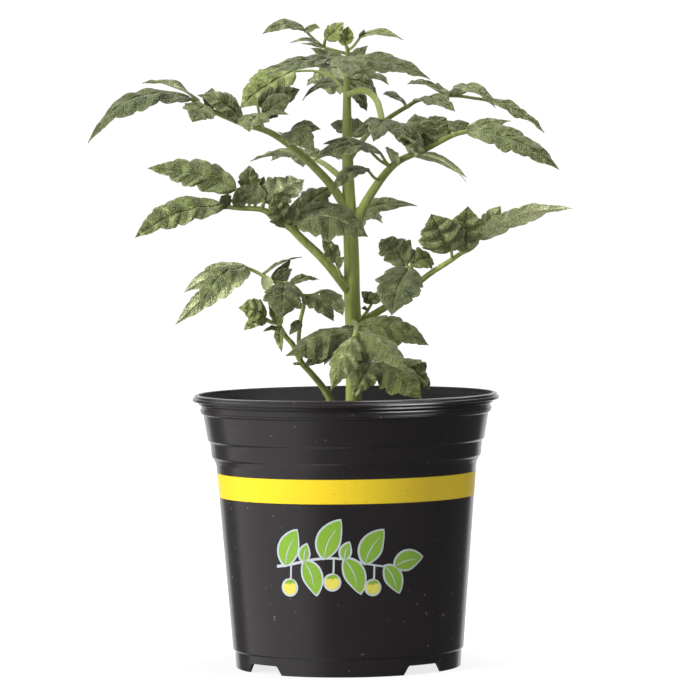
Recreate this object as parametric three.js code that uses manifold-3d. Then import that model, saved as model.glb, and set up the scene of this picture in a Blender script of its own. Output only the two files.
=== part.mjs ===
// A young tomato plant in a nursery pot, in millimetres, +Z up.
// The origin is the middle of the pot's underside. The front of the object looks along -Y.
import * as THREE from 'three';
import { mergeVertices } from 'three/addons/utils/BufferGeometryUtils.js';
import Module from 'manifold-3d';

const wasm = await Module();
wasm.setup();

// Pot
const POT_HEIGHT = 149.2;
const RIM_RADIUS = 83.7;
const WALL = 1.4;
const POT_SIDES = 36;
const FOOT_RADIUS = 61.4;
const FOOT_HEIGHT = 9.4;
const PAD_RADIUS = 30;
const FLOOR_RISE = 5.5;
const NOTCH_ANGLES = [-138.5, -48.5, 41.5, 131.5];
const NOTCH_HALF = 13.5;
const NOTCH_TOP_HALF = 10;
const NOTCH_HEIGHT = 5;
const DRAIN_RADIUS = 4;
const DRAIN_CIRCLE = 52.5;
const DRAIN_COUNT = 4;

// Soil
const GAP = 0.3;
const SOIL_TOP = 128;
const SOIL_EDGE = 125.5;
const SOIL_SIDES = 28;
const SOIL_RELIEF = 1.2;

// Stems and leaves
const STEM_SIDES = 12;
const STALK_SIDES = 5;
const BLADE_THICKNESS = 0.8;
const BLADE_FOLD = 0.16;
const RIB_HALF_WIDTH = 0.8;
const STALK_RADIUS = 0.8;
const STEM_HOLE_BOTTOM = 100;
const SIDE_STEM_HOLE_BOTTOM = 112;

// Centre of the main stem and its radius, from its foot in the soil to its top
const MAIN_STEM = [
  [4, 0, STEM_HOLE_BOTTOM + GAP], [4, 0, 130], [4.5, 0, 152], [4.6, 0, 183], [4, 0, 203],
  [4, 0, 221], [3.5, 0, 240], [2.6, 0, 265], [2.3, 0, 298], [2.6, 0, 320], [2.8, 0, 332],
];
const MAIN_STEM_RADII = [4.2, 4.4, 4.4, 4.5, 4.4, 4.2, 4, 3.3, 2.5, 1.9, 1.5];

// Each frond or leafy shoot is a list of stalks. A stalk has its path, its radius at both ends, and its
// leaflets. A leaflet's row holds: where it leaves the stalk, counted in points of the path; its tip; its
// width; the way that its upper face looks; how far its midrib rises in an arch; and, where a stalk of its
// own carries it out to another place, the point where its blade starts.
const FRONDS = {
  side_shoot: [
    {
      path: [[-5, -13, 112.3], [-5, -13, 126], [-6, -14, 137], [-8, -16, 145], [-12, -20, 153],
        [-19, -26, 162], [-24, -30, 168], [-28, -34, 177], [-32, -36, 182], [-36, -38, 189]],
      radii: [2.3, 1.2],
      leaflets: [
        [9, [-57, -48, 198], 15, [-0.2, -0.85, 0.5], 3, [-43, -40, 192]],
        [9, [-54, -52, 186], 9, [-0.2, -0.8, 0.6], 1, [-43, -41, 191]],
      ],
    },
    {
      path: [[-24, -30, 167], [-26, -31, 167], [-28, -32, 167]],
      radii: [1, 0.7],
      leaflets: [],
    },
    {
      path: [[-24, -31, 169], [-25, -34, 179], [-24, -36, 190], [-22, -38, 202], [-29, -38, 210],
        [-37, -36, 211], [-48, -34, 217], [-53, -32, 219]],
      radii: [1.2, 0.9],
      leaflets: [
        [7, [-77, -52, 197], 19, [-0.5, -0.65, 0.6], 7],
        [6.6, [-92, -18, 188], 14, [0.1, 0.9, 0.35], 6],
        [6.8, [-88, 2, 205], 14, [0, 0.85, 0.5], 3],
        [5.6, [-23, -14, 224], 8, [0, 0.3, 0.95], 2],
        [5.6, [-40, -46, 206], 7, [0, 0.9, 0.3], 1],
        [5, [-28, -24, 218], 9, [0, 0.9, 0.3], 1],
        [4.4, [-34, -58, 192], 21, [0, -0.9, 0.4], 4],
        [4, [-14, -26, 212], 9, [0, -0.4, 0.9], 2],
        [3, [-6, -45, 190], 14, [0.25, -0.7, 0.7], 5],
        [3.2, [-1, -14, 192], 12, [0.4, 0.8, 0.4], 2, [-12, -24, 206]],
      ],
    },
  ],
  frond_low_front: [
    {
      path: [[4, -1, 188], [6, -20, 187], [6, -36, 185], [5, -50, 182]],
      radii: [1.9, 1.2],
      leaflets: [
        [2.2, [-32, -52, 172], 25, [-0.2, -0.8, 0.55], 7],
        [3, [-8, -76, 154], 18, [-0.1, -0.9, 0.45], 6],
        [2.4, [34, -66, 162], 19, [0.1, -0.8, 0.55], 7],
        [1.6, [45, -30, 176], 20, [0.05, -0.7, 0.7], 5],
        [1.6, [-23, -36, 165], 13, [-0.1, -0.9, 0.12], 2],
        [1.8, [9, -42, 164], 13, [0.3, -0.9, 0.2], 2],
      ],
    },
  ],
  frond_lowest_right: [
    {
      path: [[4, -1, 172], [12, -10, 171], [14, -15, 166], [17, -17, 165]],
      radii: [1.5, 0.9],
      leaflets: [
        [2.8, [41, -32, 147], 21, [0.15, -0.85, 0.5], 5],
        [3, [46, 2, 150], 18, [0.3, -0.7, 0.6], 4, [28, -4, 165]],
        [2, [4, -38, 148], 15, [-0.1, -0.85, 0.5], 3],
        [2.6, [25, -6, 166], 8, [0, -0.6, 0.8], 1],
        [1.6, [6, -20, 162], 8, [0, -0.8, 0.4], 2],
      ],
    },
  ],
  frond_low_back: [
    {
      path: [[4, 1, 169], [5, 26, 174], [5, 52, 174], [6, 78, 170]],
      radii: [1.9, 0.9],
      leaflets: [
        [3, [6, 122, 153], 22, [0, 0.3, 0.95], 6],
        [2, [30, 58, 163], 16, [0.2, 0, 1], 4],
        [2, [-20, 56, 166], 16, [-0.2, 0, 1], 4],
        [3, [26, 102, 158], 17, [0.2, 0.2, 1], 4],
        [3, [-12, 100, 160], 17, [-0.2, 0.2, 1], 4],
      ],
    },
  ],
  frond_mid_right: [
    {
      path: [[5, -1, 186], [17, -5, 193], [25, -8, 198], [36, -12, 206], [46, -14, 214], [57, -16, 221],
        [63, -17, 225], [69, -18, 228], [73, -19, 233]],
      radii: [2.2, 0.9],
      leaflets: [
        [3.3, [25, -46, 193], 26, [-0.15, -0.9, 0.35], 3, [35, -24, 217]],
        [3.4, [20, -2, 233], 18, [0, -0.9, 0.4], 2, [34, -18, 219]],
        [3.5, [48, -8, 222], 15, [0.1, -0.8, 0.6], 2, [36, -18, 219]],
        [5.2, [47, -34, 247], 27, [-0.35, -0.9, 0.3], 2, [58, -20, 227]],
        [6.4, [67, -30, 251], 20, [0.15, -0.95, 0.2], 1],
        [8, [123, -26, 249], 16, [-0.1, 0.7, 0.7], 6],
        [8, [85, -20, 251], 13, [-0.4, 0.9, 0.1], 1],
      ],
    },
    {
      path: [[8, -3, 189], [12, -9, 194], [15, -10, 199]],
      radii: [0.9, 0.8],
      leaflets: [
        [2, [9, -13, 205], 7, [0, -0.9, 0.3], 1],
      ],
    },
  ],
  frond_mid_left: [
    {
      path: [[3, -1, 204], [-10, -8, 221], [-23, -14, 234], [-29, -17, 240], [-37, -20, 245],
        [-44, -22, 250], [-56, -26, 251], [-65, -30, 252]],
      radii: [2.7, 1.1],
      leaflets: [
        [7, [-112, -46, 236], 25, [-0.1, -0.6, 0.8], 4],
        [6.3, [-106, -16, 273], 22, [0, -0.75, 0.65], 2.5, [-58, -22, 261]],
        [5.6, [-51, -12, 274], 12, [0, -0.9, 0.3], 1, [-51, -18, 258]],
        [5, [-21, -34, 266], 20, [0.1, 0.75, 0.65], 1, [-43, -22, 254]],
        [5.1, [-57, -34, 262], 14, [-0.2, 0.8, 0.6], 1, [-43, -24, 255]],
        [6, [-57, -36, 262], 8, [0, -0.95, 0.2], 0],
        [6.7, [-66, -36, 258], 9, [0, -0.9, 0.4], 0],
        [3.2, [-38, -32, 258], 14, [-0.1, -0.95, 0.3], 1],
        [3, [-24, -28, 257], 9, [0.1, -0.95, 0.2], 1],
        [3.1, [-6, 4, 261], 14, [0, -0.8, 0.6], 2, [-24, -12, 249]],
        [2.8, [1, -8, 251], 12, [0, -0.7, 0.7], 2, [-24, -16, 246]],
        [2.9, [13, -38, 235], 27, [0.1, -0.65, 0.75], 7, [-25, -20, 243]],
        [2.6, [-3, 24, 252], 16, [0, 0, 1], 3],
      ],
    },
    {
      path: [[-1, -4, 211], [-3, -8, 216], [-4, -9, 221]],
      radii: [0.9, 0.8],
      leaflets: [
        [2, [-12, -14, 235], 9, [0, -0.9, 0.3], 1],
      ],
    },
  ],
  frond_back_right: [
    {
      path: [[4, 1, 227], [4, 28, 239], [4, 58, 244], [4, 88, 245]],
      radii: [2.3, 1],
      leaflets: [
        [3, [4, 138, 232], 22, [0, 0.2, 1], 7],
        [2, [41, 58, 250], 11, [0, -0.75, 0.65], 8],
        [2, [-24, 62, 244], 16, [0, 0, 1], 3],
        [3, [22, 112, 240], 15, [0, 0, 1], 3],
        [3, [-16, 112, 240], 15, [0, 0, 1], 3],
      ],
    },
  ],
  frond_upper_right: [
    {
      path: [[4, -1, 234], [10, -4, 249], [15, -6, 258], [23, -10, 269], [31, -13, 276], [45, -18, 282],
        [59, -22, 289], [67, -24, 291]],
      radii: [3, 1.1],
      leaflets: [
        [7, [116, -36, 270], 19, [0.15, -0.65, 0.75], 7],
        [6.9, [91, -14, 296.5], 10, [0, -0.6, 0.8], 1.5],
        [6.9, [97, -32, 288], 9, [0.1, -0.6, 0.8], 2],
        [6.2, [65, -12, 297], 13, [0, -0.8, 0.6], 1],
        [5.5, [50, -8, 300], 18, [0, -0.9, 0.4], 1.5],
        [5, [39, -8, 301], 18, [0, -0.9, 0.4], 1.5],
        [4.9, [22, -32, 293], 19, [0, -0.75, 0.65], 3],
        [4.4, [31, -38, 289], 11, [0, -0.8, 0.6], 2],
        [3.6, [23, -34, 283], 9, [0, -0.8, 0.6], 2],
        [4.4, [67, -6, 266], 9, [0, 0.5, 0.85], 4.5],
        [4.4, [66, -34, 264], 8, [0, 0.3, 0.95], 4.5],
        [3.4, [-16, -42, 276], 15, [0, -0.55, 0.83], 7, [20, -22, 280]],
        [3.4, [-11, -34, 285], 8, [0, -0.6, 0.8], 3, [12, -26, 284]],
        [2.6, [-6, -40, 260], 12, [-0.2, -0.65, 0.7], 5, [13, -20, 271]],
      ],
    },
  ],
  frond_upper_left: [
    {
      path: [[2, 0, 249], [-7, -4, 263], [-18, -10, 275], [-28, -16, 284], [-40, -22, 292],
        [-55, -30, 297], [-71, -38, 304], [-81, -42, 310]],
      radii: [2.6, 1.1],
      leaflets: [
        [7, [-136, -54, 287], 20, [-0.1, -0.5, 0.87], 15],
        [6.6, [-108, -24, 319], 15, [0, 0.3, 0.95], 4.5],
        [6.3, [-80, -62, 297.5], 18, [0.1, -0.85, 0.5], 2],
        [6, [-70, -30, 316], 8, [0, -0.6, 0.8], 1],
        [5, [-78, -34, 312], 15, [0, -0.7, 0.7], 7],
        [4.6, [-50, -58, 292], 18, [-0.2, -0.8, 0.55], 2, [-44, -30, 301]],
        [4.4, [-27, -34, 311], 13, [0.15, -0.9, 0.4], 1, [-43, -28, 301]],
        [4.2, [-23, -10, 315], 13, [0.3, -0.95, 0.1], 1, [-46, -16, 307]],
        [3, [-15, -50, 281], 17, [0.1, -0.9, 0.4], 6, [-29, -26, 291]],
        [3, [-12, -30, 293], 10, [0, -0.8, 0.6], 2, [-28, -25, 292]],
        [3, [-35, -30, 292], 7, [0, -0.7, 0.7], 1],
      ],
    },
  ],
  frond_back_left: [
    {
      path: [[2, 1, 264], [-10, 22, 274], [-17, 48, 277], [-20, 80, 279]],
      radii: [1.8, 0.9],
      leaflets: [
        [3, [-23, 128, 272], 22, [0, 0.3, 0.95], 6],
        [2.2, [-52, 62, 276], 16, [0, 0.15, 1], 3],
        [2.2, [2, 66, 275], 14, [0, 0, 1], 3],
        [2.9, [-41, 106, 276], 15, [0, 0.1, 1], 3],
        [2.9, [-2, 108, 276], 15, [0, 0.1, 1], 3],
      ],
    },
  ],
  frond_top_right: [
    {
      path: [[3, 1, 276], [14, 12, 291], [25, 18, 299], [35, 20, 305], [43, 22, 309], [60, 24, 311],
        [76, 26, 309]],
      radii: [1.5, 0.9],
      leaflets: [
        [6, [111, 30, 290], 15, [0.2, -0.35, 0.9], 3],
        [5, [83, -4, 304], 16, [0.1, -0.3, 0.95], 7],
        [4.8, [36, 44, 318], 16, [0, 0.2, 1], 3],
        [3.8, [61, -12, 302], 15, [0.1, -0.55, 0.8], 4],
        [3, [22, 2, 312], 12, [0, -0.7, 0.7], 2],
        [5.2, [76, 60, 316], 12, [0, -0.1, 1], 3],
        [1, [-7, 28, 296], 12, [0, -0.9, 0.3], 2],
        [1, [12, 30, 296], 9, [0, -0.9, 0.3], 1],
      ],
    },
  ],
  frond_drooping_right: [
    {
      path: [[3, -1, 312], [12, -12, 314], [18, -20, 309], [20, -30, 303], [21, -42, 297]],
      radii: [1.8, 1.7],
      leaflets: [
        [4, [16, -70, 286], 12, [0.1, -0.8, 0.5], 2],
        [4, [5, -54, 289], 8, [0, -0.7, 0.7], 1],
        [4, [34, -60, 290], 9, [0, -0.7, 0.7], 1],
      ],
    },
  ],
  frond_top_front: [
    {
      path: [[3, -1, 321], [3, -12, 325], [3, -26, 329], [3, -40, 331]],
      radii: [1.3, 0.9],
      leaflets: [
        [3, [3, -78, 320], 21, [0, -0.85, 0.5], 4],
        [2.2, [-42, -50, 325], 13, [0, -0.4, 0.92], 3.5],
        [1.2, [-41, -20, 323], 13, [0, -0.25, 0.97], 3.5],
        [1.5, [-17, -18, 337], 9, [0, -0.8, 0.6], 1],
        [2.2, [47, -46, 319], 17, [0, -0.55, 0.83], 4.5],
        [1.2, [27, -8, 326], 11, [0, -0.2, 1], 4],
        [1.5, [14, -18, 338], 8, [0, -0.8, 0.6], 1],
      ],
    },
  ],
  frond_top_back: [
    {
      path: [[3, 1, 311], [3, 18, 320], [3, 42, 322], [3, 64, 322]],
      radii: [1.3, 0.8],
      leaflets: [
        [3, [3, 108, 311], 20, [0, 0.2, 1], 6],
        [1.2, [-18, 34, 320], 20, [-0.2, 0.85, 0.5], 1],
        [1.6, [22, 34, 328], 11, [0.1, 0.8, 0.6], 2],
        [0.7, [-22, 18, 309], 9, [0, -0.6, 0.8], 6],
        [1, [19, 28, 311], 12, [0.2, -0.8, 0.6], 4],
        [0.4, [13, 24, 303], 8, [0.1, -0.9, 0.4], 3],
        [2.4, [-20, 76, 318], 14, [0, 0, 1], 3],
        [2.4, [26, 76, 318], 14, [0, 0, 1], 3],
      ],
    },
    {
      path: [[3, 1, 311], [-5, 6, 321], [-15, 8, 325], [-26, 8, 325]],
      radii: [0.8, 0.6],
      leaflets: [
        [3, [-56, 0, 305], 24, [-0.5, -0.75, 0.45], 3],
      ],
    },
  ],
  growing_tip: [
    {
      path: [[2.8, 0, 332.3], [3, -2, 336], [2, -3, 339]],
      radii: [1.3, 0.9],
      leaflets: [
        [2, [3.5, -6, 349], 8, [0, -0.9, 0.3], 0],
      ],
    },
    {
      path: [[3, -1, 334], [-4, -2, 336], [-10, -3, 338], [-15, -3, 342], [-20, -3, 347]],
      radii: [0.9, 0.7],
      leaflets: [
        [4, [-43, -12, 345], 11, [0, -0.55, 0.85], 5],
        [4, [-12, -10, 348], 8, [0, -0.7, 0.7], 1],
        [2, [1, -8, 351], 10, [0.1, -0.9, 0.3], 0, [-9, -5, 342]],
      ],
    },
    {
      path: [[3, -2, 336], [6, -3, 338], [10, -3, 343]],
      radii: [0.8, 0.7],
      leaflets: [
        [2, [33, -10, 341], 8, [0, -0.5, 0.87], 4],
      ],
    },
  ],
};

// Outlines of a lobed leaflet. Each row is a pair of lobe points or the notches between them: how far
// along the midrib, what share of the half width, and how far the lobe points forward.
const OUTLINES = {
  large: [[0, 0, 0], [0.1, 0.62, -0.03], [0.3, 1, 0.02], [0.38, 0.74, 0], [0.56, 0.86, 0.04],
    [0.64, 0.56, 0], [0.8, 0.44, 0.04], [1, 0, 0]],
  medium: [[0, 0, 0], [0.24, 1, 0], [0.4, 0.72, 0], [0.6, 0.76, 0.04], [1, 0, 0]],
  small: [[0, 0, 0], [0.45, 1, 0.02], [1, 0, 0]],
};
const LARGE_WIDTH = 19;
const SMALL_WIDTH = 9;

// A closed mesh as a solid, turned the right way out
function solidOf(positions, triangles) {
  const a = new THREE.Vector3();
  const b = new THREE.Vector3();
  const c = new THREE.Vector3();
  let volume = 0;
  for (const [i, j, k] of triangles) {
    a.fromArray(positions, 3 * i);
    b.fromArray(positions, 3 * j);
    c.fromArray(positions, 3 * k);
    volume += a.dot(b.cross(c));
  }
  const turned = volume < 0 ? triangles.map(([i, j, k]) => [i, k, j]) : triangles;
  return new wasm.Manifold(new wasm.Mesh({
    numProp: 3,
    vertProperties: new Float32Array(positions),
    triVerts: new Uint32Array(turned.flat()),
  }));
}

// A three.js geometry as a solid: shared corners merged, empty triangles left out
function solidFromGeometry(geometry) {
  geometry.deleteAttribute('normal');
  geometry.deleteAttribute('uv');
  const merged = mergeVertices(geometry, 1e-4);
  const triangles = [];
  for (let i = 0; i < merged.index.count; i += 3) {
    const corners = [0, 1, 2].map((k) => merged.index.getX(i + k));
    if (new Set(corners).size === 3) triangles.push(corners);
  }
  return solidOf(Array.from(merged.attributes.position.array), triangles);
}

// A profile of [radius, height] points, from axis to axis, turned about Z
function turned(profile, sides) {
  const points = profile.map(([radius, height]) => new THREE.Vector2(radius, height));
  return new THREE.LatheGeometry(points, sides).rotateX(Math.PI / 2);
}

// The triangles between rings of equal size, with a fan over each end
function ringTriangles(rings, size) {
  const triangles = [];
  for (let i = 0; i < rings - 1; i += 1) {
    for (let j = 0; j < size; j += 1) {
      const next = (j + 1) % size;
      const [a, b] = [i * size + j, i * size + next];
      triangles.push([a, b, b + size], [a, b + size, a + size]);
    }
  }
  const last = (rings - 1) * size;
  for (let j = 1; j < size - 1; j += 1) {
    triangles.push([0, j + 1, j], [last, last + j, last + j + 1]);
  }
  return triangles;
}

function curveThrough(path) {
  return new THREE.CatmullRomCurve3(path.map((p) => new THREE.Vector3(...p)), false, 'catmullrom', 0.5);
}

// A round stalk along a path, with a radius for each of its points or for its two ends
function stalk(path, radii, sides, extra = 0) {
  const curve = curveThrough(path);
  const steps = path.length - 1;
  const frames = curve.computeFrenetFrames(steps);
  const positions = [];
  for (let i = 0; i <= steps; i += 1) {
    const share = i / steps;
    const centre = curve.getPoint(share);
    const forward = curve.getTangent(share);
    const side = frames.normals[i].clone().addScaledVector(forward, -frames.normals[i].dot(forward));
    side.normalize();
    const other = forward.clone().cross(side);
    const radius = extra + (radii.length > 2 ? radii[i] : THREE.MathUtils.lerp(radii[0], radii[1], share));
    for (let j = 0; j < sides; j += 1) {
      const turn = (2 * Math.PI * j) / sides;
      const point = centre.clone().addScaledVector(side, radius * Math.cos(turn));
      point.addScaledVector(other, radius * Math.sin(turn));
      positions.push(point.x, point.y, point.z);
    }
  }
  return solidOf(positions, ringTriangles(steps + 1, sides));
}

// One lobed blade: folded along its midrib, arched towards its tip, the same triangles on both faces
function blade(start, tip, width, face, arch) {
  const along = tip.clone().sub(start).normalize();
  const up = face.clone().addScaledVector(along, -face.dot(along)).normalize();
  const crest = start.clone().add(tip).multiplyScalar(0.5).addScaledVector(up, 2 * arch);
  const midrib = new THREE.QuadraticBezierCurve3(start, crest, tip);
  const length = start.distanceTo(tip);
  let outline = OUTLINES.medium;
  if (width >= LARGE_WIDTH) outline = OUTLINES.large;
  if (width < SMALL_WIDTH) outline = OUTLINES.small;
  const across = along.clone().cross(up);
  const positions = [];
  for (const [share, spread, forward] of outline) {
    const centre = midrib.getPoint(share);
    const direction = midrib.getTangent(share);
    const normal = across.clone().cross(direction).normalize();
    const half = RIB_HALF_WIDTH + spread * (width / 2 - RIB_HALF_WIDTH);
    const edge = (side) => centre.clone().addScaledVector(across, side * half)
      .addScaledVector(normal, BLADE_FOLD * (half - RIB_HALF_WIDTH))
      .addScaledVector(direction, forward * length);
    const row = [edge(-1), centre, edge(1)];
    const top = row.map((p) => p.clone().addScaledVector(normal, BLADE_THICKNESS / 2));
    const under = row.map((p) => p.clone().addScaledVector(normal, -BLADE_THICKNESS / 2));
    for (const p of [...top, ...under.reverse()]) positions.push(p.x, p.y, p.z);
  }
  const triangles = [];
  const size = 6;
  for (let i = 0; i < outline.length - 1; i += 1) {
    const [a, b] = [i * size, (i + 1) * size];
    triangles.push([a, a + 1, b + 1], [a, b + 1, b], [a + 1, a + 2, b + 1], [a + 2, b + 2, b + 1]);
    triangles.push([a + 5, b + 4, a + 4], [a + 5, b + 5, b + 4], [a + 4, b + 4, a + 3]);
    triangles.push([a + 3, b + 4, b + 3], [a + 2, a + 3, b + 3], [a + 2, b + 3, b + 2]);
    triangles.push([a + 5, a, b], [a + 5, b, b + 5]);
  }
  const last = (outline.length - 1) * size;
  triangles.push([0, 5, 4], [0, 4, 1], [1, 4, 3], [1, 3, 2]);
  triangles.push([last, last + 4, last + 5], [last, last + 1, last + 4]);
  triangles.push([last + 1, last + 3, last + 4], [last + 1, last + 2, last + 3]);
  return solidOf(positions, triangles);
}

// All the stalks and leaflets of one frond, joined in one body and cut clear of the main stem
function frond(stalks, stemRoom) {
  const pieces = [];
  for (const { path, radii, leaflets } of stalks) {
    pieces.push(stalk(path, radii, STALK_SIDES));
    const curve = curveThrough(path);
    for (const [at, tip, width, face, arch, from] of leaflets) {
      const root = curve.getPoint(at / (path.length - 1));
      const start = from ? new THREE.Vector3(...from) : root;
      const end = new THREE.Vector3(...tip);
      if (from) {
        const beyond = start.clone().add(start.clone().sub(root).setLength(1));
        pieces.push(stalk([root.toArray(), beyond.toArray()], [STALK_RADIUS, STALK_RADIUS], 4));
      }
      pieces.push(blade(start, end, width, new THREE.Vector3(...face), arch));
    }
  }
  const joined = pieces.reduce((whole, piece) => whole.add(piece)).subtract(stemRoom);
  return joined.decompose().reduce((most, body) => (body.volume() > most.volume() ? body : most));
}

function potSolid() {
  const innerFoot = FOOT_RADIUS - WALL;
  const floorTop = FLOOR_RISE + WALL;
  const outside = [
    [0, 0], [PAD_RADIUS, 0], [PAD_RADIUS + 2, FLOOR_RISE], [innerFoot - 0.6, FLOOR_RISE], [innerFoot, 0],
    [FOOT_RADIUS, 0], [61.9, FOOT_HEIGHT], [63, FOOT_HEIGHT + 0.8], [70.8, 109], [72.4, 114.2],
    [73.5, 115.6], [74.2, 123], [75.5, 124.6], [77.8, 138.2], [79.2, 139.4], [79.8, 145],
    [RIM_RADIUS, 145.8], [RIM_RADIUS - 0.2, 147.4], [RIM_RADIUS - 1.4, 148.6],
  ];
  const inside = [
    [80.4, POT_HEIGHT], [78.6, 145.2], [76.4, 138], [74.1, 124.8], [72.8, 122.8], [69.4, 109],
    [60.4, floorTop],
    [PAD_RADIUS + 1, floorTop], [PAD_RADIUS - 1, WALL], [0, WALL],
  ];
  let pot = solidFromGeometry(turned([...outside, ...inside], POT_SIDES));
  const notch = new THREE.Shape([[-NOTCH_HALF, -1], [NOTCH_HALF, -1], [NOTCH_TOP_HALF, NOTCH_HEIGHT],
    [-NOTCH_TOP_HALF, NOTCH_HEIGHT]].map(([x, y]) => new THREE.Vector2(x, y)));
  for (const angle of NOTCH_ANGLES) {
    const cutter = new THREE.ExtrudeGeometry(notch, { depth: 8, bevelEnabled: false });
    cutter.rotateX(Math.PI / 2).translate(0, innerFoot + 4, 0);
    cutter.rotateZ(THREE.MathUtils.degToRad(angle - 90));
    pot = pot.subtract(solidFromGeometry(cutter));
  }
  for (let i = 0; i < DRAIN_COUNT; i += 1) {
    const hole = new THREE.CylinderGeometry(DRAIN_RADIUS, DRAIN_RADIUS, 3 * WALL, 8);
    hole.rotateX(Math.PI / 2).translate(DRAIN_CIRCLE, 0, FLOOR_RISE + WALL / 2);
    hole.rotateZ((2 * Math.PI * (i + 0.5)) / DRAIN_COUNT);
    pot = pot.subtract(solidFromGeometry(hole));
  }
  return pot;
}

// A plug of compost: it stands on the pot's floor, and its top is gently uneven
function soilSolid() {
  const floor = WALL + GAP;
  const ledge = FLOOR_RISE + WALL + GAP;
  const rings = [54, 36, 18];
  const crown = (radius) => SOIL_EDGE + (SOIL_TOP - SOIL_EDGE) * (1 - (radius / 72) ** 2);
  const profile = [
    [0, floor], [PAD_RADIUS - 2, floor], [PAD_RADIUS, ledge], [59.6, ledge], [68.7, 109], [72.1, 122.7],
    [73.2, 124.7],
    ...rings.map((radius) => [radius, crown(radius)]), [0, SOIL_TOP],
  ];
  const plug = turned(profile, SOIL_SIDES);
  const corners = plug.attributes.position;
  for (let i = 0; i < corners.count; i += 1) {
    const [x, y, z] = [corners.getX(i), corners.getY(i), corners.getZ(i)];
    const top = z > SOIL_EDGE && Math.hypot(x, y) < 65;
    if (top) corners.setZ(i, z + SOIL_RELIEF * Math.sin(0.17 * x + 1) * Math.cos(0.21 * y));
  }
  const main = new THREE.CylinderGeometry(5, 5, 60, 16);
  main.rotateX(Math.PI / 2).translate(MAIN_STEM[0][0], 0, STEM_HOLE_BOTTOM + 30);
  const [x, y] = FRONDS.side_shoot[0].path[0];
  const side = new THREE.CylinderGeometry(2.8, 2.8, 60, 12);
  side.rotateX(Math.PI / 2).translate(x, y, SIDE_STEM_HOLE_BOTTOM + 30);
  return solidFromGeometry(plug).subtract(solidFromGeometry(main)).subtract(solidFromGeometry(side));
}

const plastic = new THREE.MeshStandardMaterial({ color: 0x2b2828, roughness: 0.3, metalness: 0 });
const compost = new THREE.MeshStandardMaterial({ color: 0x33261c, roughness: 0.95, metalness: 0 });
const stemGreen = new THREE.MeshStandardMaterial({ color: 0x8c9a55, roughness: 0.6, metalness: 0 });
const leafGreen = new THREE.MeshStandardMaterial({ color: 0x66733f, roughness: 0.7, metalness: 0 });

function named(name, solid, material) {
  const { vertProperties, triVerts } = solid.getMesh();
  const geometry = new THREE.BufferGeometry();
  geometry.setAttribute('position', new THREE.BufferAttribute(Float32Array.from(vertProperties), 3));
  geometry.setIndex(new THREE.BufferAttribute(Uint32Array.from(triVerts), 1));
  const mesh = new THREE.Mesh(geometry, material);
  mesh.name = name;
  return mesh;
}

const group = new THREE.Group();
group.add(named('pot', potSolid(), plastic));
group.add(named('soil', soilSolid(), compost));
group.add(named('main_stem', stalk(MAIN_STEM, MAIN_STEM_RADII, STEM_SIDES), stemGreen));
const stemRoom = stalk(MAIN_STEM, MAIN_STEM_RADII, STEM_SIDES, GAP);
for (const [name, stalks] of Object.entries(FRONDS)) {
  group.add(named(name, frond(stalks, stemRoom), leafGreen));
}

export default group;
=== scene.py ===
# A young tomato plant in its nursery pot: the looks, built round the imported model.
# Lengths in the tables are millimetres, and each mesh is brought to metres when it is made.
import math
import random

import bpy
import numpy as np
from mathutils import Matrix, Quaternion, Vector, noise


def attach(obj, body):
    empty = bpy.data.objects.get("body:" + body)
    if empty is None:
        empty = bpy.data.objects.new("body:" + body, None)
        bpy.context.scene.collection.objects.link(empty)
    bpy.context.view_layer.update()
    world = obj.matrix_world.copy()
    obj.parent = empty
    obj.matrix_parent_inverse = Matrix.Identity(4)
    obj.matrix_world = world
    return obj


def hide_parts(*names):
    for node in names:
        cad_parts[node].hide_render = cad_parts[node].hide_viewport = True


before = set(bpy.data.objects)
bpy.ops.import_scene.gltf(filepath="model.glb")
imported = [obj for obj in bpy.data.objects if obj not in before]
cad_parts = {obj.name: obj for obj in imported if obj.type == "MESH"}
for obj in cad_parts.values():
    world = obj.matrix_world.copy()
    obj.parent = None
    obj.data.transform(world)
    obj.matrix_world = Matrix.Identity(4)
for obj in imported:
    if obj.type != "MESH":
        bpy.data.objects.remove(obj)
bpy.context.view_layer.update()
MM = 0.001

# Camera. It stands 2.6 m away, level with the upper leaves, and looks a little down on the pot through a
# long lens, as in the photograph. The picture leans by less than a degree.
def new_object(name, data):
    """An object in the scene, at the origin."""
    made = bpy.data.objects.new(name, data)
    bpy.context.scene.collection.objects.link(made)
    made.rotation_mode = "QUATERNION"
    return made


EYE = Vector((0, -2.6, 0.283))
GAZE = Vector((0.0026, 2.6, -0.1103))
LENS = 245.2
LEAN = math.radians(-0.6)
camera = new_object("camera", bpy.data.cameras.new("camera"))
camera.data.lens = LENS
camera.data.sensor_width = 36
camera.data.clip_end = 20
camera.location = EYE
camera.rotation_quaternion = GAZE.to_track_quat("-Z", "Y") @ Quaternion((0, 0, 1), LEAN)
bpy.context.scene.camera = camera
bpy.context.scene.view_settings.view_transform = "Standard"


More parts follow.
